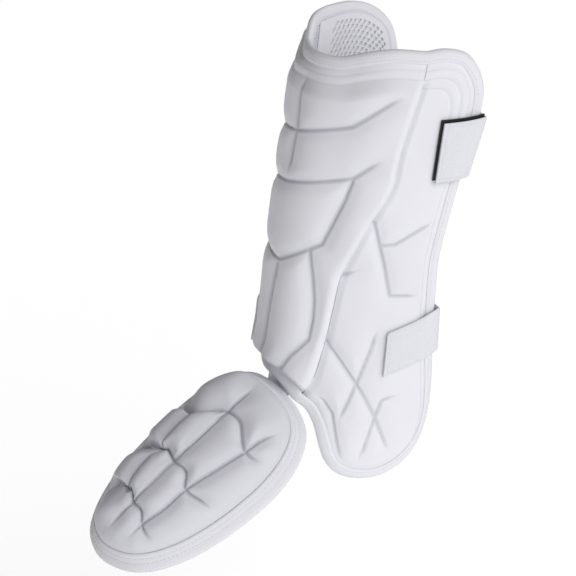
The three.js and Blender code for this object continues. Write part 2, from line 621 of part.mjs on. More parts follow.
const drawnIn = (half) => (half - FOOT_THICKNESS) / half;
function footPad() {
  const upper = footGrid.map((row) => row.map(({ x, y, share }) => {
    const dome = FOOT_RISE * domeProfile(share);
    const fade = smooth((1 - share) / FOOT_GROOVE_FADE);
    return onFoot(x, y, dome - Math.min(footGroove([x, y]) * fade, dome));
  }));
  const lower = footGrid.map((row) => row.map(({ x, y, share }) => onFoot(
    footMiddle[0] + (x - footMiddle[0]) * drawnIn(FOOT_LENGTH / 2), y * drawnIn(footHalf(y)),
    (FOOT_RISE - FOOT_THICKNESS) * domeProfile(share))));
  return solidFromGrid(upper, lower);
}

// The stitched flange round the foot guard, flared more on the outside of the foot
const middleSlope = (FLANGE_OUTER_SLOPE + FLANGE_INNER_SLOPE) / 2;
const slopeSwing = (FLANGE_INNER_SLOPE - FLANGE_OUTER_SLOPE) / 2;
function footFlange() {
  const loops = footOutline.map(([x, y], i) => {
    const out = footNormals[i];
    const slope = radians(middleSlope - slopeSwing * out.y);
    const at = (run, depth) => {
      const reach = CLEARANCE + run * Math.cos(slope) - depth * Math.sin(slope);
      const drop = run * Math.sin(slope) + depth * Math.cos(slope);
      return onFoot(x + out.x * reach, y + out.y * reach, -drop);
    };
    return [at(0, 0), at(FLANGE_WIDTH, 0), at(FLANGE_WIDTH, FLANGE_THICKNESS), at(0, FLANGE_THICKNESS)];
  });
  return solidFromLoops(loops);
}

// The link: sewn inside the shin guard, down behind the flange and up under the foot dome
function ankleLink() {
  const columns = [-0.5, -0.25, 0, 0.25, 0.5].map((share) => share * LINK_WIDTH);
  const flangeDrop = FLANGE_WIDTH * Math.sin(radians(middleSlope)) + FLANGE_THICKNESS;
  const inside = FOOT_RISE - FOOT_THICKNESS;
  const domeUnder = (x) => {
    const r = (footMiddle[0] - x) / (footMiddle[0] - FOOT_THICKNESS);
    return inside * domeProfile(clamp(r, 0, 1));
  };
  const shinRow = (height, depth) => columns.map((s) => wrap(s, height, -LINK_GAP - depth));
  const footRow = (x, z) => columns.map((y) => onFoot(x, y, z));
  const underDome = (x, depth) => columns.map((y) => {
    const aside = Math.abs(y) / (footHalf(y) * LINK_DOME_SHARE - FOOT_THICKNESS);
    const under = domeUnder(x) * domeProfile(Math.min(aside, LINK_DOME_SHARE));
    return onFoot(x, y, under - LINK_GAP - depth);
  });
  const layer = (depth) => [
    shinRow(shinFoot + LINK_SEWN_ON_SHIN, depth),
    shinRow(shinFoot + LINK_SEWN_ON_SHIN / 2, depth),
    shinRow(shinFoot - BINDING_WIDTH - LINK_HANG, depth),
    footRow(depth - FLANGE_WIDTH / 2, -flangeDrop - LINK_UNDER_FLANGE - depth),
    footRow(depth + LINK_UNDER_FLANGE, -flangeDrop - LINK_UNDER_FLANGE / 2 - depth),
    underDome(LINK_FOOT_START, depth),
    underDome(LINK_FOOT_START + LINK_SEWN_ON_FOOT, depth),
  ];
  return solidFromGrid(layer(0), layer(LINK_THICKNESS));
}

const group = new THREE.Group();
const material = (color, roughness) =>
  new THREE.MeshStandardMaterial({ color, roughness, metalness: 0 });
function add(name, geometry, colour, roughness) {
  const mesh = new THREE.Mesh(geometry, material(colour, roughness));
  mesh.name = name;
  group.add(mesh);
}
const betweenPads = { first: halfGap, last: -halfGap };
add('front_pad', wrappedPad(frontGrid, frontThickness, betweenPads), '#e6e6ec', 0.6);
const behindFront = { first: halfGap, last: 0 };
add('side_pad', wrappedPad(sideGrid, sideThickness, behindFront), '#e9e9ef', 0.6);
const insideFront = { first: -halfGap, last: 0 };
add('inner_wing_pad', wrappedPad(wingGrid, wingThickness, insideFront), '#e2e2e9', 0.6);
add('mesh_lining', liningUnder(wingGrid), '#c9c9d2', 0.9);
add('edge_binding', edgeBinding(), '#dcdce4', 0.8);
add('upper_strap', strap(UPPER_COURSE, UPPER_STRAP_WIDTH, () => hookLift), '#ececf1', 0.7);
add('hook_patch', hookPatch(), '#0c0c0e', 0.9);
add('lower_strap', strap(LOWER_COURSE, LOWER_STRAP_WIDTH, () => 0), '#e8e8ee', 0.7);
add('foot_pad', footPad(), '#d6d6de', 0.6);
add('foot_flange', footFlange(), '#dadae2', 0.7);
add('ankle_link', ankleLink(), '#d0d0d8', 0.8);

export default group;
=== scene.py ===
from math import cos, pi, radians, sin

import bpy
import numpy as np
from mathutils import Matrix, Vector


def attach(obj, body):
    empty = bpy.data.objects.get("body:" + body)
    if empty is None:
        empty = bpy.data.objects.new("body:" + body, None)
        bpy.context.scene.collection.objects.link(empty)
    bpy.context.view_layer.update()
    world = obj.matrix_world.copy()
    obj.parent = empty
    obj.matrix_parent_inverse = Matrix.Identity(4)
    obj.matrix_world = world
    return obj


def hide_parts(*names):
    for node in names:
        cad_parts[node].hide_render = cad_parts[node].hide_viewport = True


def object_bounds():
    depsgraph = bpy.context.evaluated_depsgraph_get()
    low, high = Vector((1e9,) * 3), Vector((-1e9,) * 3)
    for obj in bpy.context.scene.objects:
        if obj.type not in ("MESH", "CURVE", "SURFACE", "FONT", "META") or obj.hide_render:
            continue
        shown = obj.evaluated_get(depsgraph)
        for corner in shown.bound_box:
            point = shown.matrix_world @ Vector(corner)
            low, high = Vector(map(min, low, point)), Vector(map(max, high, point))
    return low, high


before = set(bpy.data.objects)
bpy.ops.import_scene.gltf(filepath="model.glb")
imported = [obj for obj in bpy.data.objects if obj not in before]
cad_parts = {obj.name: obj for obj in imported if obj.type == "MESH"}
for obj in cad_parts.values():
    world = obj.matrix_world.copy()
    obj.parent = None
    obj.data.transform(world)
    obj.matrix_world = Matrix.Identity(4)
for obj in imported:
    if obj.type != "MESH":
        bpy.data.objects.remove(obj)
cad_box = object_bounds()

# Sizes of the leg and the guard in metres, the same as the solids have
LEG_HALF_WIDTH = .063
LEG_FRONT_DEPTH = .098
LEG_REAR_DEPTH = .056
LEG_SET_BACK = .022
ORIGIN_HEIGHT = .183
SHIN_SWELL = .0105
SWELL_OUTER_REACH = .034
SWELL_INNER_REACH = .075
GUARD_HEIGHT = .377
OUTER_REACH = .130
INNER_REACH = .128
FRONT_THICKNESS = .016
SIDE_THICKNESS = .0085
INNER_THICKNESS = .009
COLLAR_THICKNESS = .0085
COLLAR_INNER_THICKNESS = .012
COLLAR_THINS_OVER = .040
COLLAR_WIDTH = .017
EDGE_THICKNESS = .006
EDGE_SLOPE = .008
COLLAR_SLOPE = .016
COLLAR_RISE_START = .5
WING_SLOPE = .008
WING_RISE_START = .2
BINDING_WIDTH = .008
BINDING_THICKNESS = .0064
BINDING_CLEARANCE = .0005
LINING_THICKNESS = .0015
CLEARANCE = .0003
SEAM_GAP = .00036
STRAP_THICKNESS = .0024
UPPER_STRAP_WIDTH = .050
LOWER_STRAP_WIDTH = .040
HOOK_THICKNESS = .0012
HOOK_BORDER = .0019
STRAP_CLEARANCE = .0006
STRAP_PAST_EDGE = .0001
STRAP_TURN = .0014
FOOT_LENGTH = .180
FOOT_OUTER_HALF = .057
FOOT_INNER_HALF = .040
FOOT_RISE = .0265
FOOT_THICKNESS = .010
FLANGE_WIDTH = .017
FLANGE_THICKNESS = .0045
FLANGE_OUTER_SLOPE = 40
FLANGE_INNER_SLOPE = 70
FOOT_TURN = 8
FOOT_PITCH = 38
FOOT_ROLL = 22
FOOT_HEEL_SHIFT = (.013, -.014, -.012)
FOOT_DOME_FULLNESS = 2.4
FOOT_DOME_CENTRE = .48
LINK_WIDTH = .024
LINK_THICKNESS = .002
LINK_GAP = .0006
LINK_SEWN_ON_SHIN = .030
LINK_HANG = .006
LINK_SEWN_ON_FOOT = .024

# Leg sections: height, then width, front, rear and set back as shares
LEG_SECTIONS = np.array([
    (-.10, .70, .86, .78, 1.00), (.11, .73, .88, .82, .95), (.27, .79, .90, .86, .91),
    (.46, .86, .94, .89, .91), (.64, .92, .96, .93, .95), (.80, .97, .98, .96, 1.00),
    (1.02, 1.00, 1.00, 1.00, 1.05)])

# How much of the swell along the shin line there is at each height
SWELL_SHARES = [(.20, 1), (.24, .97), (.30, .72), (.40, .64), (.50, .62), (.62, .60), (.70, .56),
                (.78, .47), (.88, .44), (1, .50)]

# Flat pattern: share of the reach round the leg, share of the guard's height
RIDGE = [(.17, .19), (.22, .23), (.25, .28), (.275, .335), (.30, .41), (.325, .48), (.40, .565),
         (.46, .62), (.54, .695), (.555, .76), (.585, .83), (.615, .895), (.64, .965)]
REAR_EDGE = [(.957, .16), (.93, .24), (.885, .34), (.865, .44), (.85, .53), (.873, .62),
             (.905, .71), (.94, .79), (.97, .86), (.966, .905), (.928, .937)]
LOBE_EDGE = [(.17, .19), (.235, .172), (.295, .135), (.34, .09), (.385, .05), (.45, .027),
             (.53, .020), (.61, .019), (.70, .025), (.79, .042), (.875, .071), (.935, .11),
             (.957, .16)]
SIDE_TOP = [(.64, .965), (.74, .973), (.85, .966), (.928, .937)]
FRONT_TOP = [(-.36, .965), (-.30, .958), (-.255, .936), (-.20, .919), (0, .918), (.17, .925),
             (.32, .947), (.46, .962), (.64, .965)]
FRONT_BOTTOM = [(-.36, .226), (-.23, .230), (-.08, .235), (.04, .235), (.12, .215), (.17, .19)]
FRONT_INNER_EDGE = [(-.36, .226), (-.36, .965)]
WING_TOP = [(.366, .965), (.43, .968), (.62, .970), (.80, .957), (.94, .922), (1.01, .855)]
WING_REAR = [(.83, .34), (.82, .46), (.86, .60), (.93, .72), (.99, .80), (1.01, .855)]
WING_BOTTOM = [(.366, .226), (.46, .235), (.60, .26), (.76, .29), (.83, .34)]

# Moulded grooves: depth in metres, which ends run out, then the course on the flat pattern
SHIN_GROOVES = [
    (.0040, "both", [(-.008, .90), (.01, .782), (0, .668)]),
    (.0036, "end", [(-.32, .735), (-.20, .755), (0, .772), (.285, .814), (.538, .902)]),
    (.0036, "end", [(-.32, .62), (-.21, .639), (0, .660), (.323, .706), (.485, .764)]),
    (.0042, "none", [(.323, .700), (.30, .660), (.208, .549), (.154, .533), (.008, .485),
                     (-.15, .491), (-.32, .50)]),
    (.0042, "none", [(.008, .475), (-.015, .385), (-.025, .286), (-.05, .225)]),
    (.0036, "none", [(.154, .533), (.185, .469), (.20, .424), (.202, .379), (.19, .33),
                     (.115, .284), (.077, .245)]),
    (.0016, "both", [(.592, .785), (.70, .790)]),
    (.0026, "end", [(.469, .610), (.515, .560), (.554, .520), (.615, .446), (.83, .446)]),
    (.0022, "end", [(.515, .560), (.60, .565), (.85, .626)]),
    (.0018, "end", [(.335, .484), (.455, .512)]),
    (.0024, "end", [(.277, .326), (.362, .286), (.469, .233), (.523, .204), (.60, .157),
                    (.662, .111), (.738, .053)]),
    (.0022, "both", [(.569, .379), (.538, .321), (.469, .233), (.438, .196), (.392, .146),
                     (.377, .127)]),
    (.0022, "both", [(.777, .212), (.638, .194), (.608, .154), (.562, .074), (.523, .032)]),
    (.0026, "both", [(.215, .202), (.285, .188), (.346, .157), (.369, .119), (.392, .085),
                     (.423, .053), (.477, .034)]),
]
COLLAR_CREASES = (.0062, .0130)
SIDE_CREASE = .0198
CREASE_END = .80
CREASE_FADE = .05
ROUNDING = 3.2
CREASE_DEPTH = .0006
CREASE_HALF_WIDTH = .0024
CREASE_FAINT = .0015
CREASE_LOST = .009
LEAST_DEPTH = 1e-5

# The front pad's rounded edge along the ridge, and the dip in the side pad beside it
RIDGE_ROUND = .006
RIDGE_DROP = .85
RIDGE_DIP = .0024
RIDGE_DIP_REACH = .005
RELIEF_SCALE = 1.2
SIDE_RELIEF_MOST = .0035
SOFTENING_PASSES = 6

# Foot guard plan: along, then the half widths outside and inside as shares of their sizes
FOOT_PLAN = [(0, 0, 0), (.02, .44, .50), (.07, .72, .70), (.16, .90, .86), (.30, 1, .95),
             (.48, .99, .96), (.66, .90, .91), (.80, .76, .79), (.91, .56, .59), (.97, .34, .37),
             (1, 0, 0)]
# Its grooves: depth, which ends run out, then shares of the length and of the half width there
FOOT_GROOVES = [
    (.0044, "both", [(.04, 0), (.21, .03), (.36, .05), (.55, .04), (.68, .05), (.815, .03), (.97, .03)]),
    (.0046, "both", [(.12, .92), (.21, .73), (.295, .66), (.44, .58), (.61, .50), (.74, .53), (.855, .52),
             (.94, .70)]),
    (.0040, "none", [(.28, -.58), (.36, -.62), (.46, -.60), (.57, -.52), (.68, -.52), (.83, -.44)]),
    (.0058, "end", [(.21, .03), (.21, .28), (.295, .66), (.275, .99)]),
    (.0058, "end", [(.55, .04), (.55, .28), (.61, .50), (.595, .78), (.585, .99)]),
    (.0056, "end", [(.815, .03), (.815, .28), (.855, .52), (.87, .78), (.86, .99)]),
    (.0086, "none", [(.21, .03), (.225, -.20), (.28, -.58), (.30, -.99)]),
    (.0086, "none", [(.55, .04), (.535, -.28), (.57, -.52), (.59, -.99)]),
    (.0080, "none", [(.815, .03), (.80, -.25), (.83, -.44), (.845, -.99)]),
]

UPPER_COURSE = {"tab": (.777, .777), "outer": .787, "inner": .785, "anchor": (.55, .785)}
LOWER_COURSE = {"tab": (.62, .31), "outer": .362, "inner": .368, "anchor": (.2, .292)}

# Fineness of the visible meshes
FRONT_CELLS = (100, 250)
SIDE_CELLS = (78, 290)
WING_CELLS = (74, 220)
FOOT_CELLS = (112, 190)
RIM_STEP = 3
TINY = 1e-6
FAR_AWAY = 9.


def smooth(value):
    value = np.clip(value, 0, 1)
    return value * value * (3 - 2 * value)


def mix(a, b, share):
    return a + (b - a) * share


# The leg: half ellipses in front and behind, measured round the girth from the shin line
LEG_HEIGHTS = np.linspace(-.06, .42, 481)
LEG_STEP = LEG_HEIGHTS[1] - LEG_HEIGHTS[0]
SOFTENING = 18


def leg_size(column, whole):
    line = np.interp(LEG_HEIGHTS / GUARD_HEIGHT, LEG_SECTIONS[:, 0], LEG_SECTIONS[:, column]) * whole
    spread = 2 * SOFTENING + 1
    return np.convolve(np.pad(line, SOFTENING, mode="edge"), np.ones(spread) / spread, mode="valid")


LEG_WIDTH = leg_size(1, LEG_HALF_WIDTH)
LEG_FRONT = leg_size(2, LEG_FRONT_DEPTH)
LEG_REAR = leg_size(3, LEG_REAR_DEPTH)
LEG_CENTRE = leg_size(4, LEG_SET_BACK)


def girth_tables(steps=360, shares=400):
    """Half girth at each height, and the turn round the ellipse at even shares of it."""
    turn = np.linspace(0, pi, steps + 1)
    depth = np.where(turn < pi / 2, LEG_FRONT[:, None], LEG_REAR[:, None])
    x = LEG_WIDTH[:, None] * np.sin(turn)
    y = LEG_CENTRE[:, None] - depth * np.cos(turn)
    run = np.cumsum(np.hypot(np.diff(x, axis=1), np.diff(y, axis=1)), axis=1)
    run = np.hstack([np.zeros((len(x), 1)), run])
    even = np.linspace(0, 1, shares)
    turns = np.array([np.interp(even, row / row[-1], turn) for row in run])
    return run[:, -1], turns


HALF_GIRTH, TURNS = girth_tables()


def shin_swell(reach, height):
    """How far the leg swells forward of its section along the shin line."""
    share = np.interp(height / GUARD_HEIGHT, *zip(*SWELL_SHARES))
    inner = smooth((SWELL_INNER_REACH + reach) / (SWELL_INNER_REACH - SWELL_OUTER_REACH))
    return SHIN_SWELL * share * inner * (1 - smooth(reach / SWELL_OUTER_REACH))


def wrap(reach, height, off):
    """Places flat pattern points on the leg, standing off its surface."""
    reach, height, off = np.broadcast_arrays(*(np.asarray(v, float) for v in (reach, height, off)))
    off = off + shin_swell(reach, height)
    row = np.clip((height - LEG_HEIGHTS[0]) / LEG_STEP, 0, len(LEG_HEIGHTS) - 1.001)
    i = row.astype(int)
    up = row - i
    half = mix(HALF_GIRTH[i], HALF_GIRTH[i + 1], up)
    place = np.clip(np.abs(reach) / half, 0, 1) * (TURNS.shape[1] - 1)
    k = np.minimum(place.astype(int), TURNS.shape[1] - 2)
    on = place - k
    turn = mix(mix(TURNS[i, k], TURNS[i, k + 1], on), mix(TURNS[i + 1, k], TURNS[i + 1, k + 1], on), up)
    width = mix(LEG_WIDTH[i], LEG_WIDTH[i + 1], up)
    ahead = turn < pi / 2
    depth = np.where(ahead, mix(LEG_FRONT[i], LEG_FRONT[i + 1], up), mix(LEG_REAR[i], LEG_REAR[i + 1], up))
    centre = mix(LEG_CENTRE[i], LEG_CENTRE[i + 1], up)
    out_x, out_y = np.sin(turn) / width, -np.cos(turn) / depth
    size = np.hypot(out_x, out_y)
    x = width * np.sin(turn) + out_x / size * off
    y = centre - depth * np.cos(turn) + out_y / size * off
    return np.stack([np.where(reach < 0, -1, 1) * x, y, height - ORIGIN_HEIGHT], -1)


# Flat pattern curves and patches
def outward(rows):
    return np.array([(side * OUTER_REACH, height * GUARD_HEIGHT) for side, height in rows])


def inward(rows):
    return np.array([(-side * INNER_REACH, height * GUARD_HEIGHT) for side, height in rows])


def run_length(path):
    """Length along a path up to each of its points."""
    return np.insert(np.cumsum(np.linalg.norm(np.diff(path, axis=0), axis=1)), 0, 0)


def sample_curve(points, count, closed=False, fine=40):
    """A smooth centripetal curve through the points, sampled evenly along its length."""
    points = np.asarray(points, float)
    if closed:
        run = np.vstack([points[-1:], points, points[:2]])
    else:
        run = np.vstack([2 * points[0] - points[1], points, 2 * points[-1] - points[-2]])
    drawn = []
    share = np.linspace(0, 1, fine, endpoint=False)[:, None]
    for a, b, c, d in zip(run, run[1:], run[2:], run[3:]):
        before, within, after = (max(np.linalg.norm(way) ** .5, TINY) for way in (b - a, c - b, d - c))
        start = ((b - a) / before - (c - a) / (before + within) + (c - b) / within) * within
        end = ((c - b) / within - (d - b) / (within + after) + (d - c) / after) * within
        drawn.append(b + start * share + (3 * (c - b) - 2 * start - end) * share ** 2
                     + (2 * (b - c) + start + end) * share ** 3)
    drawn = np.vstack([*drawn, run[-2][None]])
    length = run_length(drawn)
    even = np.linspace(0, length[-1], count + 1)
    return np.stack([np.interp(even, length, column) for column in drawn.T], -1)


def patch(left, right, bottom, top, cells):
    """A four sided patch of the flat pattern, filled in from its four edge curves."""
    columns, rows = cells
    l, r = sample_curve(left, rows)[:, None], sample_curve(right, rows)[:, None]
    b, t = sample_curve(bottom, columns)[None], sample_curve(top, columns)[None]
    u = np.linspace(0, 1, columns + 1)[None, :, None]
    v = np.linspace(0, 1, rows + 1)[:, None, None]
    corners = (1 - v) * mix(b[:, :1], b[:, -1:], u) + v * mix(t[:, :1], t[:, -1:], u)
    return mix(l, r, u) + mix(b, t, v) - corners


front_flat = patch(*map(outward, (FRONT_INNER_EDGE, RIDGE, FRONT_BOTTOM, FRONT_TOP)), FRONT_CELLS)
side_flat = patch(*map(outward, (RIDGE, REAR_EDGE, LOBE_EDGE, SIDE_TOP)), SIDE_CELLS)
wing_start = outward(FRONT_INNER_EDGE)
wing_flat = patch(wing_start, inward(WING_REAR), np.vstack([wing_start[:1], inward(WING_BOTTOM)[1:]]),
                  np.vstack([wing_start[1:], inward(WING_TOP)[1:]]), WING_CELLS)
rim = np.vstack([
    wing_flat[:, -1], wing_flat[-1, -2::-1], front_flat[-1, 1:], side_flat[-1, 1:],
    side_flat[-2::-1, -1], side_flat[0, -2::-1], front_flat[0, -2::-1], wing_flat[0, 1:-1]])
top_edge = np.vstack([wing_flat[-1, ::-1], front_flat[-1], side_flat[-1]])
high_edge = np.vstack([wing_flat[-1, ::-1], front_flat[-1, 1:], side_flat[-1, 1:]])
outer_rear = side_flat[:, -1]
inner_rear = wing_flat[:, -1]
ridge_line = side_flat[:, 0]
FRONT_START = FRONT_INNER_EDGE[0][0] * OUTER_REACH


def distance_to(path, points, closed=False):
    """Distance of each flat point from a path."""
    path = np.asarray(path)
    ends = np.roll(path, -1, axis=0) if closed else path[1:]
    best = np.full(points.shape[:-1], FAR_AWAY)
    for a, b in zip(path if closed else path[:-1], ends):
        way = b - a
        along_way = np.clip((points - a) @ way / max(way @ way, TINY ** 2), 0, 1)
        gap = points - a - along_way[..., None] * way
        best = np.minimum(best, np.hypot(gap[..., 0], gap[..., 1]))
    return np.maximum(best, TINY)


shin_groove_paths = [(depth, ends, outward(path)) for depth, ends, path in SHIN_GROOVES]
# The foam rolls down into a groove in two steps, and its skin is pressed in along the line
PILLOW_REACH = .017
PILLOW_SHARE = .32
VALLEY_REACH = .0085
VALLEY_SHARE = .42
CREASE_REACH = .0019
CREASE_SHARE = .36
RUN_OUT = .016
RUN_OUT_LEFT = .4
RUN_OUT_FADE = 1.5


def softened(field, passes):
    """Evens out a grid of heights, so that pillows meet in round forms and not in ridges."""
    for _ in range(passes):
        for axis in (0, 1):
            wide = np.pad(field, [(1, 1) if k == axis else (0, 0) for k in (0, 1)], mode="edge")
            before, after = (wide[:-2], wide[2:]) if axis == 0 else (wide[:, :-2], wide[:, 2:])
            field = (before + 2 * field + after) / 4
    return field


def run_out(path, ends, points):
    """Share of a groove's depth, which runs out to nothing at its open ends."""
    share = np.ones(points.shape[:-1])
    for place, names in ((path[0], ("start", "both")), (path[-1], ("end", "both"))):
        if ends in names:
            share *= smooth(np.linalg.norm(points - place, axis=-1) / RUN_OUT)
    return share


def moulded_relief(points, paths, passes):
    """Depth of the rolled valleys with their pressed lines, and the distance to the nearest line."""
    rolled, pressed = np.zeros(points.shape[:-1]), np.zeros(points.shape[:-1])
    nearest = np.full(points.shape[:-1], FAR_AWAY)
    for depth, ends, path in paths:
        distance = distance_to(path, points)
        left = run_out(path, ends, points)
        valley = PILLOW_SHARE * (1 - smooth(distance / PILLOW_REACH))
        valley += VALLEY_SHARE * (1 - smooth(distance / VALLEY_REACH))
        rolled = np.maximum(rolled, depth * valley * mix(RUN_OUT_LEFT, 1, left))
        pressed = np.maximum(pressed, depth * CREASE_SHARE * (1 - smooth(distance / CREASE_REACH)) * left)
        nearest = np.minimum(nearest, distance + (1 - left) * CREASE_REACH * RUN_OUT_FADE)
    return softened(rolled, passes) + pressed, nearest


def reach_at(line, height):
    return np.interp(height, line[:, 1], line[:, 0])


def collar_depth(points):
    """Depth below the top edge, which turns smoothly into depth from the rear edge."""
    reach, height = points[..., 0], points[..., 1]
    below = np.interp(reach, high_edge[:, 0], high_edge[:, 1]) - height
    before = reach_at(outer_rear, height) - reach
    below, before = np.maximum(below, LEAST_DEPTH), np.maximum(before, LEAST_DEPTH)
    return (below ** -ROUNDING + before ** -ROUNDING) ** (-1 / ROUNDING)


def pad_surface(points, kind, passes=0):
    """Thickness of a shin pad, and how near each point is to a crease."""
    rise = smooth(distance_to(rim[::RIM_STEP], points, closed=True) / EDGE_SLOPE)
    top_distance = distance_to(top_edge[::RIM_STEP], points)
    below = smooth((top_distance - COLLAR_WIDTH) / COLLAR_SLOPE + COLLAR_RISE_START)
    crest = distance_to(ridge_line[::RIM_STEP], points)
    deep, nearest = moulded_relief(points, shin_groove_paths, passes)
    deep *= RELIEF_SCALE
    shoulder = 0
    if kind == "front":
        from_wing = smooth((points[..., 0] - FRONT_START) / WING_SLOPE + WING_RISE_START)
        outside = smooth(.5 + points[..., 0] / COLLAR_THINS_OVER)
        collar = mix(COLLAR_INNER_THICKNESS, COLLAR_THICKNESS, outside)
        whole = mix(INNER_THICKNESS, mix(collar, FRONT_THICKNESS, below), from_wing)
        round_off = 1 - np.clip(crest / RIDGE_ROUND, 0, 1)
        shoulder = (whole - SIDE_THICKNESS) * (1 - np.sqrt(np.clip(1 - round_off ** 2, 0, 1))) * RIDGE_DROP
    elif kind == "side":
        whole = SIDE_THICKNESS
        shoulder = RIDGE_DIP * (1 - smooth(crest / RIDGE_DIP_REACH)) * below
        deep = np.minimum(deep, SIDE_RELIEF_MOST)
    else:
        whole = INNER_THICKNESS
    thick = EDGE_THICKNESS + (whole - EDGE_THICKNESS) * rise - deep * rise - shoulder
    depth = collar_depth(points)
    shown = smooth((points[..., 1] / GUARD_HEIGHT - CREASE_END) / CREASE_FADE)
    steps = [(COLLAR_CREASES[0], 1.), *((step, shown) for step in COLLAR_CREASES[1:])]
    if kind == "side":
        steps += [(SIDE_CREASE, shown)]
    for step, amount in steps:
        crease = np.abs(depth - step)
        thick -= CREASE_DEPTH * (1 - smooth(crease / CREASE_HALF_WIDTH)) * rise * amount
        nearest = np.minimum(nearest, crease + CREASE_FAINT + CREASE_LOST * (1 - amount))
    return thick, nearest


# Meshes
def placed(name, data):
    """Adds an object to the scene."""
    made = bpy.data.objects.new(name, data)
    bpy.context.scene.collection.objects.link(made)
    return made


def mesh_piece(name, vertices, faces, finishes, which=None, flat=None, crease=None, sharp=55):
    """A piece from its mesh; flat is its map, and crease how near each vertex is to a groove."""
    mesh = bpy.data.meshes.new(name)
    corners = faces.tolist() if isinstance(faces, np.ndarray) else faces
    mesh.from_pydata(np.asarray(vertices).reshape(-1, 3).tolist(), [], corners)
    for finish in finishes:
        mesh.materials.append(finish)
    if which is not None:
        mesh.polygons.foreach_set("material_index", np.asarray(which, np.int32))
    if flat is not None:
        corner = np.zeros(len(mesh.loops), np.int32)
        mesh.loops.foreach_get("vertex_index", corner)
        layer = mesh.uv_layers.new(name="flat")
        layer.data.foreach_set("uv", np.asarray(flat, np.float32).reshape(-1, 2)[corner].ravel())
    if crease is not None:
        near = mesh.attributes.new("crease", "FLOAT", "POINT")
        near.data.foreach_set("value", np.asarray(crease, np.float32).ravel())
    mesh.polygons.foreach_set("use_smooth", np.ones(len(mesh.polygons), bool))
    mesh.set_sharp_from_angle(angle=radians(sharp))
    mesh.update()
    return placed(name, mesh)


def enclosed(vertices, faces):
    """Volume that quads enclose, to see which way they face."""
    a, b, c, d = (vertices[faces[:, k]] for k in range(4))
    return (np.einsum("ij,ij->i", a, np.cross(b, c)) + np.einsum("ij,ij->i", a, np.cross(c, d))).sum()


def grid_shell(name, outer, inner, finishes, flat=None, crease=None, sharp=55):
    """A closed shell between two grids; the inner face takes the second finish."""
    rows, columns = outer.shape[:2]
    vertices = np.vstack([outer.reshape(-1, 3), inner.reshape(-1, 3)])
    ids = np.arange(rows * columns).reshape(rows, columns)
    far = rows * columns

    def quads(a, b, c, d):
        return np.stack([part.ravel() for part in (a, b, c, d)], -1)

    face = quads(ids[:-1, :-1], ids[:-1, 1:], ids[1:, 1:], ids[1:, :-1])
    ring = np.concatenate([ids[0, :-1], ids[:-1, -1], ids[-1, :0:-1], ids[:0:-1, 0]])
    after = np.roll(ring, -1)
    wall = quads(after, ring, ring + far, after + far)
    faces = np.vstack([face, face[:, ::-1] + far, wall])
    if enclosed(vertices, faces) < 0:
        faces = faces[:, ::-1]
    which = np.zeros(len(faces), np.int32)
    which[len(face):2 * len(face)] = min(1, len(finishes) - 1)
    double = None if flat is None else np.vstack([flat.reshape(-1, 2)] * 2)
    near = None if crease is None else np.concatenate([crease.ravel(), np.full(far, FAR_AWAY)])
    return mesh_piece(name, vertices, faces, finishes, which, double, near, sharp)


def loop_tube(name, loops, finishes, flat=None, sharp=55):
    """A closed ring of sections; flat gives the map of every section point."""
    count, sides = loops.shape[:2]
    ids = np.arange(count * sides).reshape(count, sides)
    on, up = np.roll(ids, -1, axis=0), np.roll(ids, -1, axis=1)
    both = np.roll(on, -1, axis=1)
    faces = np.stack([part.ravel() for part in (ids, up, both, on)], -1)
    vertices = loops.reshape(-1, 3)
    if enclosed(vertices, faces) < 0:
        faces = faces[:, ::-1]
    return mesh_piece(name, vertices, faces, finishes, None, flat, None, sharp)


# A stitch: shares of its length, width and height, and its sizes in metres
STITCH_PROFILE = [(0, .25, -.6), (.18, .9, .1), (.5, 1, .35), (.82, .9, .1), (1, .25, -.6)]
STITCH_LENGTH = .0028
STITCH_PITCH = .0034
STITCH_RADIUS = .0003
STITCH_FLATNESS = .7
STITCH_SIDES = 6


def point_on(path, run, place):
    return np.array([np.interp(place, run, column) for column in path.T])


def thread_stitches(name, path, normals):
    """A row of stitches: small rounded lengths of thread pulled into the cloth."""
    run = run_length(path)
    vertices, faces = [], []
    for start in np.arange(.5 * STITCH_PITCH, run[-1] - STITCH_LENGTH, STITCH_PITCH):
        base = len(vertices)
        middle = [point_on(path, run, start + STITCH_LENGTH * share) for share, _, _ in STITCH_PROFILE]
        up = point_on(normals, run, start + STITCH_LENGTH / 2)
        up *= STITCH_RADIUS / np.linalg.norm(up)
        way = middle[-1] - middle[0]
        side = np.cross(way / max(np.linalg.norm(way), TINY), up)
        for centre, (_, width, lift) in zip(middle, STITCH_PROFILE):
            for k in range(STITCH_SIDES):
                turn = 2 * pi * k / STITCH_SIDES
                raised = up * (lift + width * STITCH_FLATNESS * sin(turn))
                vertices.append(centre + raised + side * width * cos(turn))
        for j in range(len(STITCH_PROFILE) - 1):
            for k in range(STITCH_SIDES):
                a, b = (base + j * STITCH_SIDES + place for place in (k, (k + 1) % STITCH_SIDES))
                faces.append((a, b, b + STITCH_SIDES, a + STITCH_SIDES))
        faces.append(tuple(range(base, base + STITCH_SIDES))[::-1])
        faces.append(tuple(range(len(vertices) - STITCH_SIDES, len(vertices))))
    return mesh_piece(name, np.array(vertices), faces, [thread])


def dressed(piece, slot, *nodes, fill=None):
    """Puts a finished piece on the guard in place of its solids."""
    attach(piece, "root")
    if nodes:
        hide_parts(*nodes)
    return piece


# Materials
def linear(code):
    """Turns an sRGB hex colour into linear red, green, blue and alpha."""
    values = [int(code[k:k + 2], 16) / 255 for k in (1, 3, 5)]
    return tuple(v / 12.92 if v <= .04045 else ((v + .055) / 1.055) ** 2.4 for v in values) + (1,)


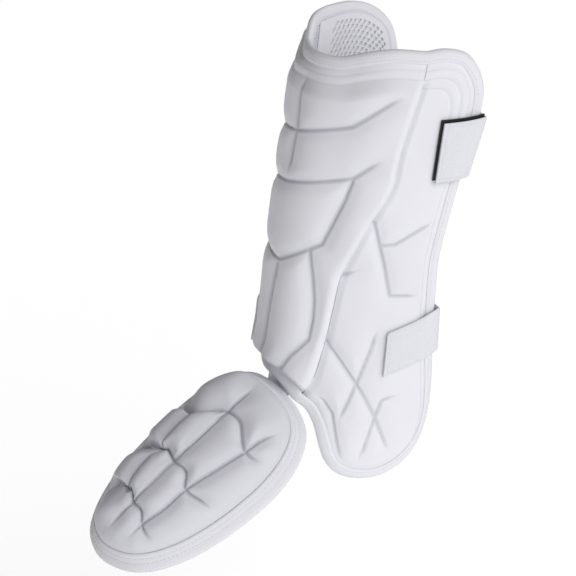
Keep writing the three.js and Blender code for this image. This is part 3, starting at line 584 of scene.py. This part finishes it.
def node(tree, kind, inputs=None, **settings):
    """Adds a node with its settings; inputs holds values, or sockets and nodes to link from."""
    made = tree.nodes.new("ShaderNode" + kind)
    for name, value in settings.items():
        setattr(made, name, value)
    for socket, value in (inputs or {}).items():
        if isinstance(value, bpy.types.Node):
            value = value.outputs[0]
        if isinstance(value, bpy.types.NodeSocket):
            tree.links.new(value, made.inputs[socket])
        else:
            made.inputs[socket].default_value = value
    return made


def new_finish(name):
    finish = bpy.data.materials.new(name)
    finish.use_nodes = True
    finish.node_tree.nodes.clear()
    return finish, finish.node_tree


def surfaced(tree, share, first, second, rough, gloss, sheen=(0, .5), **values):
    """Shader whose colour runs between two tones; its constants go straight on its sockets."""
    tone = node(tree, "Mix", {0: share, 6: first, 7: second}, data_type="RGBA").outputs[2]
    shader = node(tree, "BsdfPrincipled", {
        "IOR": 1.5, "Base Color": tone, "Roughness": rough, "Specular IOR Level": gloss,
        "Sheen Weight": sheen[0], "Sheen Roughness": sheen[1], **values})
    node(tree, "OutputMaterial", {"Surface": shader})


# The skin of a pad is darkened with painted shade along its creases, and its tone drifts in patches this wide
CREASE_SHADE_REACH = .0028
CREASE_SHADE_SHARE = .55
PATCH_SIZE = .045
YARNS_PER_RIB = 1.6


def moulded_skin(name, light, shade, grain_mm):
    """Matte polyurethane skin on moulded EVA foam: even and soft, with a fine leather grain."""
    finish, tree = new_finish(name)
    place = node(tree, "TexCoord").outputs["Object"]
    # painted shade: near grooves and creases the skin's colour is mixed towards a dark grey lavender
    near = node(tree, "Attribute", attribute_name="crease").outputs["Fac"]
    line = node(tree, "MapRange", {0: near, 1: 0., 2: CREASE_SHADE_REACH, 3: 1., 4: 0.},
                interpolation_type="SMOOTHSTEP")
    crease_shade = node(tree, "Math", {0: line, 1: CREASE_SHADE_SHARE}, operation="MULTIPLY")
    patches = node(tree, "TexNoise", {"Vector": place, "Scale": 1 / PATCH_SIZE, "Detail": 2.})
    varied = node(tree, "MapRange", {0: patches, 1: .35, 2: .65, 3: 0., 4: .35})
    base = node(tree, "Mix", {0: varied, 6: linear(light), 7: linear(shade)}, data_type="RGBA").outputs[2]
    grain = node(tree, "TexVoronoi", {"Vector": place, "Scale": 1000 / grain_mm},
                 feature="SMOOTH_F1")
    dull = node(tree, "MapRange", {0: grain, 1: 0., 2: 1., 3: .52, 4: .64})
    bump = node(tree, "Bump", {"Strength": .22, "Distance": .00018, "Height": grain})
    # painted shade: the grey lavender second tone darkens the skin along its grooves and creases
    surfaced(tree, crease_shade, base, linear("#A4A4B0"), rough=dull, gloss=.38, sheen=(.12, .5), Normal=bump)
    return finish


def woven_tape(name, light, shade, rib_mm, sheen, across=0, bump_mm=.12):
    """Woven polyester tape: fine ribs one way and yarns the other, dull with a little sheen."""
    finish, tree = new_finish(name)
    flat = node(tree, "UVMap", uv_map="flat")
    rib_scale = 1000 / rib_mm / 2 / pi
    ribs = node(tree, "TexWave", {"Vector": flat, "Scale": rib_scale, "Distortion": .6, "Detail": 1.},
                bands_direction="XY"[across]).outputs[1]
    yarn = node(tree, "TexWave", {"Vector": flat, "Scale": rib_scale * YARNS_PER_RIB, "Distortion": .9},
                bands_direction="XY"[1 - across]).outputs[1]
    weave = node(tree, "Math", {0: ribs, 1: yarn}, operation="MULTIPLY")
    cloud = node(tree, "TexNoise", {"Vector": flat, "Scale": 60., "Detail": 3.})
    tone = node(tree, "Math", {0: weave, 1: cloud}, operation="MULTIPLY")
    bump = node(tree, "Bump", {"Strength": .5, "Distance": bump_mm / 1000, "Height": weave})
    surfaced(tree, tone, linear(light), linear(shade), rough=.78, gloss=.3, sheen=(sheen, .45), Normal=bump)
    return finish


def napped_loop(name, light, shade, nap_mm):
    """Brushed loop fabric of a fastening strap: short nap that scatters light, no gloss."""
    finish, tree = new_finish(name)
    place = node(tree, "TexCoord").outputs["Object"]
    nap = node(tree, "TexNoise", {
        "Vector": place, "Scale": 1000 / nap_mm, "Detail": 4., "Roughness": .65})
    tone = node(tree, "MapRange", {0: nap, 1: .35, 2: .65, 3: 0., 4: 1.})
    bump = node(tree, "Bump", {"Strength": .45, "Distance": .0004, "Height": nap})
    surfaced(tree, tone, linear(shade), linear(light), rough=.92, gloss=.2, sheen=(.35, .4), Normal=bump)
    return finish


def knitted_lining(name, light, eyelet_shade, pitch_mm):
    """Knitted spacer lining: soft rows of small open eyelets over foam."""
    finish, tree = new_finish(name)
    flat = node(tree, "UVMap", uv_map="flat")
    eyelets = node(tree, "TexVoronoi", {"Vector": flat, "Scale": 1000 / pitch_mm, "Randomness": .12},
                   voronoi_dimensions="2D")
    solid = node(tree, "MapRange", {0: eyelets, 1: .22, 2: .42, 3: 0., 4: 1.},
                 interpolation_type="SMOOTHSTEP")
    bump = node(tree, "Bump", {"Strength": .6, "Distance": .0006, "Height": solid})
    # painted shade: the eyelets take a dark grey lavender tone, standing in for the shade inside the holes
    surfaced(tree, solid, linear(eyelet_shade), linear(light), rough=.9, gloss=.2, sheen=(.3, .5), Normal=bump)
    return finish


def plastic_hooks(name, dark, tip, pitch_mm):
    """Nylon hook tape: rows of tiny stiff hooks, dark with small bright tips."""
    finish, tree = new_finish(name)
    flat = node(tree, "UVMap", uv_map="flat")
    hooks = node(tree, "TexVoronoi", {"Vector": flat, "Scale": 1000 / pitch_mm, "Randomness": .35},
                 voronoi_dimensions="2D")
    tips = node(tree, "MapRange", {0: hooks, 1: .1, 2: .35, 3: 1., 4: 0.})
    bump = node(tree, "Bump", {"Strength": .8, "Distance": .0008, "Height": tips})
    surfaced(tree, tips, linear(dark), linear(tip), rough=.5, gloss=.45, Normal=bump)
    return finish


skin = moulded_skin("moulded_foam_skin", "#DDDDE2", "#D7D7DC", 1.1)
# painted shade: the foot guard takes a darker copy of the same moulded skin, standing in for the shade that
# falls on it
shaded_foot_skin = moulded_skin("moulded_foam_skin_foot_painted_shade", "#CDCDD3", "#C7C7CD", 1.1)
lining = knitted_lining("knitted_spacer_lining", "#DFDFE6", "#A9A9B4", 2.4)
mesh_yarn = woven_tape("spacer_mesh_yarn", "#E2E2E6", "#D6D6DC", .6, .3)
mesh_backing = napped_loop("spacer_mesh_backing", "#DFDFE4", "#D2D2D8", .9)
tape = woven_tape("polyester_binding_tape", "#DDDDE2", "#D0D0D6", 1.1, .2)
flange_cloth = woven_tape("stitched_flange_cloth", "#D8D8DD", "#CACAD0", 1.2, .2)
strap_loop = napped_loop("brushed_loop_strap", "#DADADF", "#D0D0D6", 1.0)
hooks = plastic_hooks("nylon_hook_tape", "#08080A", "#2A2A2E", 1.3)
elastic = woven_tape("ribbed_elastic_webbing", "#E2E2E9", "#C8C8D2", 1.4, .25, across=1, bump_mm=.3)
thread = woven_tape("polyester_sewing_thread", "#D2D2D8", "#C2C2C9", .5, .2)

# Shin pads
HALF_GAP = SEAM_GAP / 2


def shin_pad(name, flat, kind, first, last):
    thick, near = pad_surface(flat, kind, SOFTENING_PASSES)
    reach = flat[..., 0].copy()
    reach[:, 0] += first
    reach[:, -1] += last
    outer = wrap(reach, flat[..., 1], thick)
    inner = wrap(reach, flat[..., 1], np.zeros(thick.shape))
    return grid_shell(name, outer, inner, [skin, lining], flat, near)


front_skin = shin_pad("front_pad_skin", front_flat, "front", HALF_GAP, -HALF_GAP)
side_skin = shin_pad("side_pad_skin", side_flat, "side", HALF_GAP, 0)
wing_skin = shin_pad("inner_wing_skin", wing_flat, "wing", -HALF_GAP, 0)
dressed(front_skin, "moulded_foam", "front_pad", fill=.8)
dressed(side_skin, "moulded_foam", "side_pad", fill=.7)
dressed(wing_skin, "moulded_foam", "inner_wing_pad", fill=.7)


# Binding round the edge of the shin guard
def outline_normals(path, spread=0):
    area = (path[:, 0] * np.roll(path[:, 1], -1) - np.roll(path[:, 0], -1) * path[:, 1]).sum()
    way = np.roll(path, -1, axis=0) - np.roll(path, 1, axis=0)
    out = np.stack([way[:, 1], -way[:, 0]], -1) * (1 if area > 0 else -1)
    out /= np.linalg.norm(out, axis=1)[:, None]
    total = sum(np.roll(out, k, axis=0) for k in range(-spread, spread + 1))
    return total / np.linalg.norm(total, axis=1)[:, None]


def closed(path):
    return np.vstack([path, path[:1]])


EDGE_PITCH = .002
rim_length = run_length(closed(rim))[-1]
rim_run = sample_curve(rim[::4], int(rim_length / EDGE_PITCH), closed=True, fine=8)[:-1]
rim_out = outline_normals(rim_run, spread=3)

# The binding's section: shares of its width past the edge, and of its thickness off the middle
BINDING_SHAPE = [(-.22, .53), (-.12, .60), (.15, .62), (.5, .56), (.8, .40), (.96, .16), (1, -.05),
                 (.92, -.28), (.7, -.44), (.35, -.54), (0, -.56), (-.18, -.54), (-.2, -.50), (0, -.46),
                 (.03, 0), (0, .46)]
BINDING_GIRTH = .03
BINDING_OUTER_ROW = .615
BINDING_INNER_ROW = -.57
STITCH_INSET = .0016
STITCH_LIFT = .001


def binding_loops():
    loops = []
    for out, off in BINDING_SHAPE:
        place = rim_run + rim_out * (BINDING_CLEARANCE + out * BINDING_WIDTH)
        loops.append(wrap(place[:, 0], place[:, 1], EDGE_THICKNESS / 2 + off * BINDING_THICKNESS))
    return np.stack(loops, 1)


def run_map(path, sides, width):
    """Map of a tape: across it, then along its run."""
    return np.stack(np.meshgrid(np.linspace(0, width, sides), run_length(path)), -1)


def binding_stitches(name, row):
    reach, height = (closed(rim_run) + closed(rim_out) * STITCH_INSET).T
    off = EDGE_THICKNESS / 2 + row * BINDING_THICKNESS
    on = wrap(reach, height, off)
    return thread_stitches(name, on, wrap(reach, height, off + STITCH_LIFT) - on)


binding_map = run_map(rim_run, len(BINDING_SHAPE), BINDING_GIRTH)
binding = loop_tube("edge_binding_tape", binding_loops(), [tape], binding_map, sharp=70)
dressed(binding, "binding_tape", "edge_binding")
dressed(binding_stitches("binding_stitches", BINDING_OUTER_ROW), "binding_tape")
dressed(binding_stitches("binding_stitches_inside", BINDING_INNER_ROW), "binding_tape")


# Mesh lining on the inner wing
def flat_at(grid, u, v):
    """Point of a patch at shares of its columns and rows."""
    rows, columns = grid.shape[0] - 1, grid.shape[1] - 1
    x, y = np.clip(u, 0, 1) * columns, np.clip(v, 0, 1) * rows
    i, j = np.minimum(x.astype(int), columns - 1), np.minimum(y.astype(int), rows - 1)
    s, t = (x - i)[..., None], (y - j)[..., None]
    return mix(mix(grid[j, i], grid[j, i + 1], s), mix(grid[j + 1, i], grid[j + 1, i + 1], s), t)


SEAM_LAP = .004
LAP_CELLS = 1.5
BACKING_STEP = 4
BACKING_THICKNESS = .0004
NET_START = -.058
NET_MARGIN = .0042
NET_COLUMNS, NET_ROWS = 19, 59
NET_CELL = [(0, 0), (.5, 0), (1, 0), (1, 1), (.5, 1), (0, 1)]
NET_HOLE = [(.07, .12), (.38, .03), (.70, .30), (.95, .87), (.64, .97), (.32, .70)]
HOLE_LIP = .0002
HOLE_DEPTH = .0008


def lining_backing():
    flat = wing_flat[::BACKING_STEP, ::BACKING_STEP].copy()
    flat[:, 0, 0] += SEAM_LAP
    face, under = (wrap(flat[..., 0], flat[..., 1], -CLEARANCE - thick) for thick in (0, BACKING_THICKNESS))
    return grid_shell("mesh_lining_backing", face, under, [mesh_backing], flat)


def lining_net():
    """One layer of spacer mesh: slanted diamond holes in offset rows, closed along its margins."""
    layers = [(NET_CELL, 0), (NET_HOLE, HOLE_LIP), (NET_HOLE, HOLE_DEPTH)]
    sides = len(NET_CELL)
    vertices, faces = [], []
    for j in range(NET_ROWS):
        shift = .5 * (j % 2)
        for i in range(-1, NET_COLUMNS):
            centre = np.array([(i + shift + .5) / NET_COLUMNS, (j + .5) / NET_ROWS])
            if not 0 <= centre[0] <= 1:
                continue
            middle = flat_at(wing_flat, *centre)
            base = len(vertices)
            for layer, depth in layers:
                for x, y in layer:
                    place = i + shift + x
                    off = (LINING_THICKNESS - depth) * smooth(place / .5)
                    vertices.append((place / NET_COLUMNS, (j + y) / NET_ROWS, -CLEARANCE - off))
            if middle[0] < NET_START and distance_to(rim[::RIM_STEP], middle, closed=True) > NET_MARGIN:
                for k in range(sides):
                    n = (k + 1) % sides
                    for start in (base, base + sides):
                        faces.append((start + k, start + n, start + sides + n, start + sides + k))
            else:
                faces.append(tuple(range(base, base + sides)))
    raw = np.array(vertices)
    flat = flat_at(wing_flat, raw[:, 0], raw[:, 1])
    flat[:, 0] += SEAM_LAP * (1 - smooth(raw[:, 0] * NET_COLUMNS / LAP_CELLS))
    face = wrap(flat[:, 0], flat[:, 1], raw[:, 2])
    return mesh_piece("mesh_lining_net", face, faces, [mesh_yarn], None, flat)


lining_back = dressed(lining_backing(), "spacer_mesh", "mesh_lining")
dressed(lining_net(), "spacer_mesh")

# Straps
PAST_EDGE = BINDING_CLEARANCE + BINDING_WIDTH + STRAP_PAST_EDGE
OVER_BINDING = (EDGE_THICKNESS + BINDING_THICKNESS) / 2
BAND_STEP = .0025
BAND_SPREAD = 3
BAND_LEAST_STEPS = 6
STRAP_LANES = 13
STRAP_BACK_STATIONS = 60
STRAP_EDGE_ROUNDING = .35
STRAP_EDGE_SHARE = .14
HOOK_LANES = 15


def pad_thickness(points):
    """Thickness of whichever shin pad is under each point, or of the edge beyond them."""
    reach, height = points[..., 0], points[..., 1]
    on_wing, on_side = reach < FRONT_START, reach >= reach_at(ridge_line, height)
    parts = {"wing": on_wing, "front": ~on_wing & ~on_side, "side": on_side}
    thick = np.full(reach.shape, EDGE_THICKNESS)
    for kind, inside in parts.items():
        thick = np.where(inside, pad_surface(points, kind)[0], thick)
    off_pads = (reach > reach_at(outer_rear, height)) | (reach < reach_at(inner_rear, height))
    return np.where(off_pads, EDGE_THICKNESS, thick)


def lie_on_pads(start, end, ups, rise):
    """Reaches, heights and rests of a band that lies on the pads from start to end."""
    count = max(BAND_LEAST_STEPS, int(abs(end[0](0) - start[0](0)) / BAND_STEP))
    share = np.linspace(0, 1, count + 1)
    reach = np.stack([mix(start[0](up), end[0](up), share) for up in ups], 1)
    height = mix(start[1], end[1], share)[:, None] + np.array(ups)[None]
    rest = np.maximum(pad_thickness(np.stack([reach, height], -1)).max(axis=1), OVER_BINDING)
    for evened in (np.max, np.mean):
        padded = np.pad(rest, BAND_SPREAD, mode="edge")
        rest = evened(np.lib.stride_tricks.sliding_window_view(padded, 2 * BAND_SPREAD + 1), axis=1)
    return reach, height, np.maximum(rest, OVER_BINDING) + STRAP_CLEARANCE + rise


def strap_edge(line, up, height, sign):
    return reach_at(line, height + up) + sign * PAST_EDGE


def level_turn(way):
    """The way off an edge, made level and of a set length."""
    way = way * (1, 1, 0)
    return way * STRAP_TURN / np.linalg.norm(way, axis=1)[:, None]


def strap_band(name, course, width, rise):
    """A whole strap: its free tab, the stretch behind the leg and the part that is sewn on."""
    lanes = width / 2 * np.sin(np.linspace(-pi / 2, pi / 2, STRAP_LANES))
    outer_height, inner_height = course["outer"] * GUARD_HEIGHT, course["inner"] * GUARD_HEIGHT
    tab = lie_on_pads((lambda up: course["tab"][0] * OUTER_REACH, course["tab"][1] * GUARD_HEIGHT),
                      (lambda up: strap_edge(outer_rear, up, outer_height, 1), outer_height), lanes, rise)
    sewn = lie_on_pads((lambda up: strap_edge(inner_rear, up, inner_height, -1), inner_height),
                       (lambda up: -course["anchor"][0] * INNER_REACH, course["anchor"][1] * GUARD_HEIGHT),
                       lanes, 0)
    (tab_low, tab_high), (sewn_low, sewn_high) = (
        [wrap(reach, height, under[:, None] + thick) for thick in (0, STRAP_THICKNESS)]
        for reach, height, under in (tab, sewn))
    a, b = tab_low[-1], sewn_low[0]
    p, q = a + level_turn(a - tab_low[-2]), b - level_turn(sewn_low[1] - b)
    t = np.linspace(0, 1, STRAP_BACK_STATIONS + 2)[1:-1, None, None]
    s = 1 - t
    low = s ** 3 * a + 3 * s ** 2 * t * p + 3 * s * t ** 2 * q + t ** 3 * b
    way = 3 * s ** 2 * (p - a) + 6 * s * t * (q - p) + 3 * t ** 2 * (b - q)
    out = np.stack([way[..., 1], -way[..., 0], np.zeros(way.shape[:-1])], -1)
    high = low + out * STRAP_THICKNESS / np.linalg.norm(out, axis=-1)[..., None]
    low, high = np.vstack([tab_low, low, sewn_low]), np.vstack([tab_high, high, sewn_high])
    rounded = np.cos(np.linspace(-pi / 2, pi / 2, STRAP_LANES)) ** STRAP_EDGE_ROUNDING
    middle = (low + high) / 2
    lift = (high - low) / 2 * mix(STRAP_EDGE_SHARE, 1, rounded)[:, None]
    flat = np.stack(np.meshgrid(lanes, run_length(middle[:, STRAP_LANES // 2])), -1)
    return grid_shell(name, middle + lift, middle - lift, [strap_loop], flat, sharp=80), middle, lift


TAB_STATIONS = 11
TAB_LANE = 2


def tab_stitches(name, middle, lift, station=1):
    """A stitched row round the free end of a strap: in along one lane, across and back."""
    other = STRAP_LANES - 1 - TAB_LANE
    along = list(range(TAB_STATIONS, station, -1))
    run = [(j, TAB_LANE) for j in along] + [(station, k) for k in range(TAB_LANE, other + 1)]
    rows, columns = np.array(run + [(j, other) for j in along[::-1]]).T
    return thread_stitches(name, (middle + lift)[rows, columns], lift[rows, columns])


upper_strap, *upper_form = strap_band(
    "upper_strap_band", UPPER_COURSE, UPPER_STRAP_WIDTH, HOOK_THICKNESS + CLEARANCE)
dressed(upper_strap, "strap_webbing", "upper_strap")
lower_strap, *lower_form = strap_band("lower_strap_band", LOWER_COURSE, LOWER_STRAP_WIDTH, 0)
dressed(lower_strap, "strap_webbing", "lower_strap")
dressed(tab_stitches("upper_tab_stitches", *upper_form), "strap_webbing")
dressed(tab_stitches("lower_tab_stitches", *lower_form), "strap_webbing")


def hook_layer():
    lanes = HOOK_BORDER + np.linspace(-UPPER_STRAP_WIDTH / 2, UPPER_STRAP_WIDTH / 2, HOOK_LANES)
    start, end = UPPER_COURSE["tab"][1] * GUARD_HEIGHT, UPPER_COURSE["outer"] * GUARD_HEIGHT
    reach, height, under = lie_on_pads(
        (lambda up: UPPER_COURSE["tab"][0] * OUTER_REACH - HOOK_BORDER, start),
        (lambda up: strap_edge(outer_rear, up, end, 1), end), lanes, 0)
    face, back = (wrap(reach, height, under[:, None] + thick) for thick in (HOOK_THICKNESS, 0))
    return grid_shell("hook_patch_layer", face, back, [hooks], np.stack([reach, height], -1))


dressed(hook_layer(), "hook_tape", "hook_patch")

# Foot guard
turn, pitch, roll = radians(FOOT_TURN), radians(FOOT_PITCH), radians(FOOT_ROLL)
foot_along = np.array([sin(turn) * cos(pitch), -cos(turn) * cos(pitch), -sin(pitch)])
level = np.array([cos(turn), sin(turn), 0])
square = np.cross(foot_along, level)
foot_across = level * cos(roll) - square * sin(roll)
foot_above = square * cos(roll) + level * sin(roll)
SHIN_FOOT = np.interp(0, *zip(*FRONT_BOTTOM)) * GUARD_HEIGHT
heel = wrap(0, SHIN_FOOT, 0) + np.array(FOOT_HEEL_SHIFT)
FOOT_MIDDLE = FOOT_LENGTH * FOOT_DOME_CENTRE

# The foot guard's skin swells out, and its grooves draw it down and in towards its middle
FOOT_SWELL = .0012
FOOT_FADE = .07
FOOT_SIDE_FADE = .035
FOOT_SIDE_START = .25
FOOT_PULL_OUTSIDE = .5
FOOT_PULL_INSIDE = 2.2
FOOT_PULL_AT = .7
FOOT_SOFTENING_PASSES = 8


def on_foot(x, y, z):
    x, y, z = np.broadcast_arrays(x, y, z)
    return heel + x[..., None] * foot_along + y[..., None] * foot_across + z[..., None] * foot_above


def foot_half(y):
    return np.where(np.asarray(y) < 0, FOOT_INNER_HALF, FOOT_OUTER_HALF)


plan_points = [(x * FOOT_LENGTH, outer * FOOT_OUTER_HALF) for x, outer, _ in FOOT_PLAN]
plan_points += [(x * FOOT_LENGTH, -inner * FOOT_INNER_HALF) for x, _, inner in FOOT_PLAN[-2:0:-1]]
foot_outline = sample_curve(plan_points, 300, closed=True)[:-1]
bearings = np.arctan2(foot_outline[:, 1], foot_outline[:, 0] - FOOT_MIDDLE)
order = np.argsort(bearings)
foot_reaches = np.hypot(foot_outline[:, 0] - FOOT_MIDDLE, foot_outline[:, 1])[order]
foot_bearings = bearings[order]


def foot_grid():
    u = np.linspace(-1, 1, FOOT_CELLS[1] + 1)[:, None]
    v = np.linspace(-1, 1, FOOT_CELLS[0] + 1)[None]
    x, y = u * np.sqrt(1 - v ** 2 / 2), v * np.sqrt(1 - u ** 2 / 2)
    share = np.minimum(1, np.hypot(x, y))
    bearing = np.arctan2(y, x)
    reach = share * np.interp(bearing, foot_bearings, foot_reaches, period=2 * pi)
    return FOOT_MIDDLE + reach * np.cos(bearing), reach * np.sin(bearing), share


def dome_profile(r):
    return np.maximum(0, 1 - np.clip(r, 0, 1) ** FOOT_DOME_FULLNESS) ** (1 / FOOT_DOME_FULLNESS)


def on_plan(along_share, across_share):
    """A point of the foot guard from shares of its length and of its half width there."""
    along_table, outer, inner = zip(*FOOT_PLAN)
    width = np.interp(along_share, along_table, outer if across_share > 0 else inner)
    return along_share * FOOT_LENGTH, across_share * width * foot_half(across_share)


foot_groove_paths = [(depth, ends, sample_curve([on_plan(*point) for point in path], 6 * len(path)))
                     for depth, ends, path in FOOT_GROOVES]


def foot_skin_piece():
    x, y, share = foot_grid()
    points = np.stack([x, y], -1)
    deep, nearest = moulded_relief(points, foot_groove_paths, FOOT_SOFTENING_PASSES)
    profile = dome_profile(share)
    dome = FOOT_RISE * profile
    fade = smooth((1 - share) / FOOT_FADE)
    drawn_down = dome - np.minimum(deep * fade, dome) + FOOT_SWELL * fade
    side_fade = smooth((1 - share) / FOOT_SIDE_FADE + FOOT_SIDE_START) * smooth(share / .5)
    pull = mix(FOOT_PULL_OUTSIDE, FOOT_PULL_INSIDE, smooth(-y / (FOOT_PULL_AT * FOOT_INNER_HALF)))
    drawn_in = 1 - pull * deep * side_fade / foot_half(y)
    upper = on_foot(FOOT_MIDDLE + (x - FOOT_MIDDLE) * drawn_in, y * drawn_in, drawn_down)
    ahead, aside = (1 - FOOT_THICKNESS / half for half in (FOOT_LENGTH / 2, foot_half(y)))
    hollow = (FOOT_RISE - FOOT_THICKNESS) * profile
    lower = on_foot(FOOT_MIDDLE + (x - FOOT_MIDDLE) * ahead, y * aside, hollow)
    return grid_shell("foot_pad_skin", upper, lower, [shaded_foot_skin, lining], points, nearest)


dressed(foot_skin_piece(), "moulded_foam", "foot_pad", fill=.8)

foot_out = outline_normals(foot_outline, spread=2)
MIDDLE_SLOPE = (FLANGE_OUTER_SLOPE + FLANGE_INNER_SLOPE) / 2
SLOPE_SWING = (FLANGE_INNER_SLOPE - FLANGE_OUTER_SLOPE) / 2
flange_slope = np.radians(MIDDLE_SLOPE - SLOPE_SWING * foot_out[:, 1])

# The flange's section: shares of its width and of its thickness
FLANGE_SHAPE = [(.02, .3), (.06, .04), (.18, -.10), (.28, .03), (.36, -.06), (.44, -.06), (.52, .03),
                (.66, -.14), (.84, -.10), (.95, .12), (1, .5), (.95, .88), (.8, 1), (.5, 1), (.1, 1),
                (.02, .8)]
FLANGE_GIRTH = .04
FLANGE_STITCH_ROWS = (.28, .52)
STITCH_SINK = .00005


def on_flange(run, depth):
    reach = CLEARANCE + run * np.cos(flange_slope) - depth * np.sin(flange_slope)
    drop = run * np.sin(flange_slope) + depth * np.cos(flange_slope)
    x, y = (foot_outline + foot_out * reach[:, None]).T
    return on_foot(x, y, -drop)


flange_loops = [on_flange(run * FLANGE_WIDTH, depth * FLANGE_THICKNESS) for run, depth in FLANGE_SHAPE]
flange_map = run_map(foot_outline, len(FLANGE_SHAPE), FLANGE_GIRTH)
flange = loop_tube("foot_flange_band", np.stack(flange_loops, 1), [flange_cloth], flange_map, sharp=75)
dressed(flange, "binding_tape", "foot_flange")
for count, run in enumerate(FLANGE_STITCH_ROWS):
    line = on_flange(run * FLANGE_WIDTH, -STITCH_SINK)
    raised = on_flange(run * FLANGE_WIDTH, -STITCH_LIFT) - line
    dressed(thread_stitches(f"flange_stitches_{count + 1}", closed(line), closed(raised)), "binding_tape")

# Ankle link
LINK_LANES = 13
LINK_STATIONS = 70
LINK_FOLD = .002
LINK_FLANGE_GAP = .001
LINK_DOME_START = .012
LINK_DOME_MOST = .9
LINK_LENGTH = .13


def ankle_link():
    lanes = np.linspace(-.5, .5, LINK_LANES) * LINK_WIDTH
    drop = FLANGE_WIDTH * sin(radians(MIDDLE_SLOPE)) + FLANGE_THICKNESS + LINK_FLANGE_GAP
    start = FOOT_THICKNESS + LINK_DOME_START

    def under_dome(x, depth):
        rise = (FOOT_RISE - FOOT_THICKNESS) * dome_profile((FOOT_MIDDLE - x) / (FOOT_MIDDLE - FOOT_THICKNESS))
        aside = np.abs(lanes) / (foot_half(lanes) * LINK_DOME_MOST - FOOT_THICKNESS)
        profile = dome_profile(np.minimum(aside, LINK_DOME_MOST))
        return on_foot(np.full(LINK_LANES, x), lanes, rise * profile - LINK_GAP - depth)

    def layer(depth):
        heights = (LINK_SEWN_ON_SHIN, LINK_SEWN_ON_SHIN / 2, -BINDING_WIDTH - LINK_HANG)
        rows = [wrap(lanes, SHIN_FOOT + height, -LINK_GAP - depth) for height in heights]
        rows += [on_foot(-FLANGE_WIDTH / 2 + depth, lanes, -drop - LINK_FLANGE_GAP - depth),
                 on_foot(LINK_FOLD + depth, lanes, -drop - depth),
                 under_dome(start, depth), under_dome(start + LINK_SEWN_ON_FOOT, depth)]
        lines = np.stack(rows, 1)
        return np.stack([sample_curve(line, LINK_STATIONS, fine=12) for line in lines], 1)

    outer, inner = layer(0), layer(LINK_THICKNESS)
    flat = np.stack(np.meshgrid(lanes, np.linspace(0, LINK_LENGTH, len(outer))), -1)
    return grid_shell("ankle_link_elastic", outer, inner, [elastic], flat, sharp=75)


dressed(ankle_link(), "elastic_webbing", "ankle_link")

# Floor of pale paper, which glows a little so that it stays white under the soft light
FLOOR_DROP = .35
FLOOR_HALF = 9
corners = [(-1, -1), (1, -1), (1, 1), (-1, 1)]
ground = bpy.data.meshes.new("studio_floor")
ground.from_pydata([(x * FLOOR_HALF, y * FLOOR_HALF, 0) for x, y in corners], [], [(0, 1, 2, 3)])
floor = placed("studio_floor", ground)
floor.location.z = cad_box[0].z - FLOOR_DROP
paper, paper_tree = new_finish("matte_studio_paper")
fibres = node(paper_tree, "TexNoise", {"Scale": 6., "Detail": 2.})
surfaced(paper_tree, fibres, linear("#F6F6F7"), linear("#F9F9FA"), rough=.95, gloss=.1, **{
    "Emission Color": (1, 1, 1, 1), "Emission Strength": .50})
ground.materials.append(paper)

# Camera at the photo's angle
CAMERA_TURN, CAMERA_RISE, CAMERA_ROLL = radians(58), radians(23), radians(8.5)
CAMERA_AIM = Vector((-.027, -.060, -.041))
CAMERA_DISTANCE = 1.9
METRES_PER_PIXEL = .00081
PICTURE_PIXELS = 576
SENSOR_MM = 36
back = Vector((sin(CAMERA_TURN) * cos(CAMERA_RISE), -cos(CAMERA_TURN) * cos(CAMERA_RISE), sin(CAMERA_RISE)))
plain_right = Vector((cos(CAMERA_TURN), sin(CAMERA_TURN), 0))
plain_up = back.cross(plain_right)
right = plain_right * cos(CAMERA_ROLL) + plain_up * sin(CAMERA_ROLL)
upward = plain_up * cos(CAMERA_ROLL) - plain_right * sin(CAMERA_ROLL)
lens = bpy.data.cameras.new("studio_camera")
lens.sensor_width = SENSOR_MM
lens.lens = CAMERA_DISTANCE / METRES_PER_PIXEL * SENSOR_MM / PICTURE_PIXELS
camera = placed("studio_camera", lens)
facing = Matrix((right, upward, back)).transposed().to_4x4()
camera.matrix_world = Matrix.Translation(CAMERA_AIM + back * CAMERA_DISTANCE) @ facing
bpy.context.scene.camera = camera

# Soft window light from the right, in a pale room
SUN_FROM = Vector((.80, .12, .55))
sun = bpy.data.lights.new("tall_soft_window", "SUN")
sun.energy = 2.45
sun.angle = radians(60)
window = placed("tall_soft_window", sun)
window.rotation_mode = "QUATERNION"
window.rotation_quaternion = SUN_FROM.to_track_quat("Z", "Y")
world = bpy.data.worlds.new("pale_room")
world.use_nodes = True
colour, strength, *_ = world.node_tree.nodes["Background"].inputs
colour.default_value = linear("#E9E9F0")
strength.default_value = .13
bpy.context.scene.world = world
bpy.context.scene.view_settings.view_transform = "Standard"
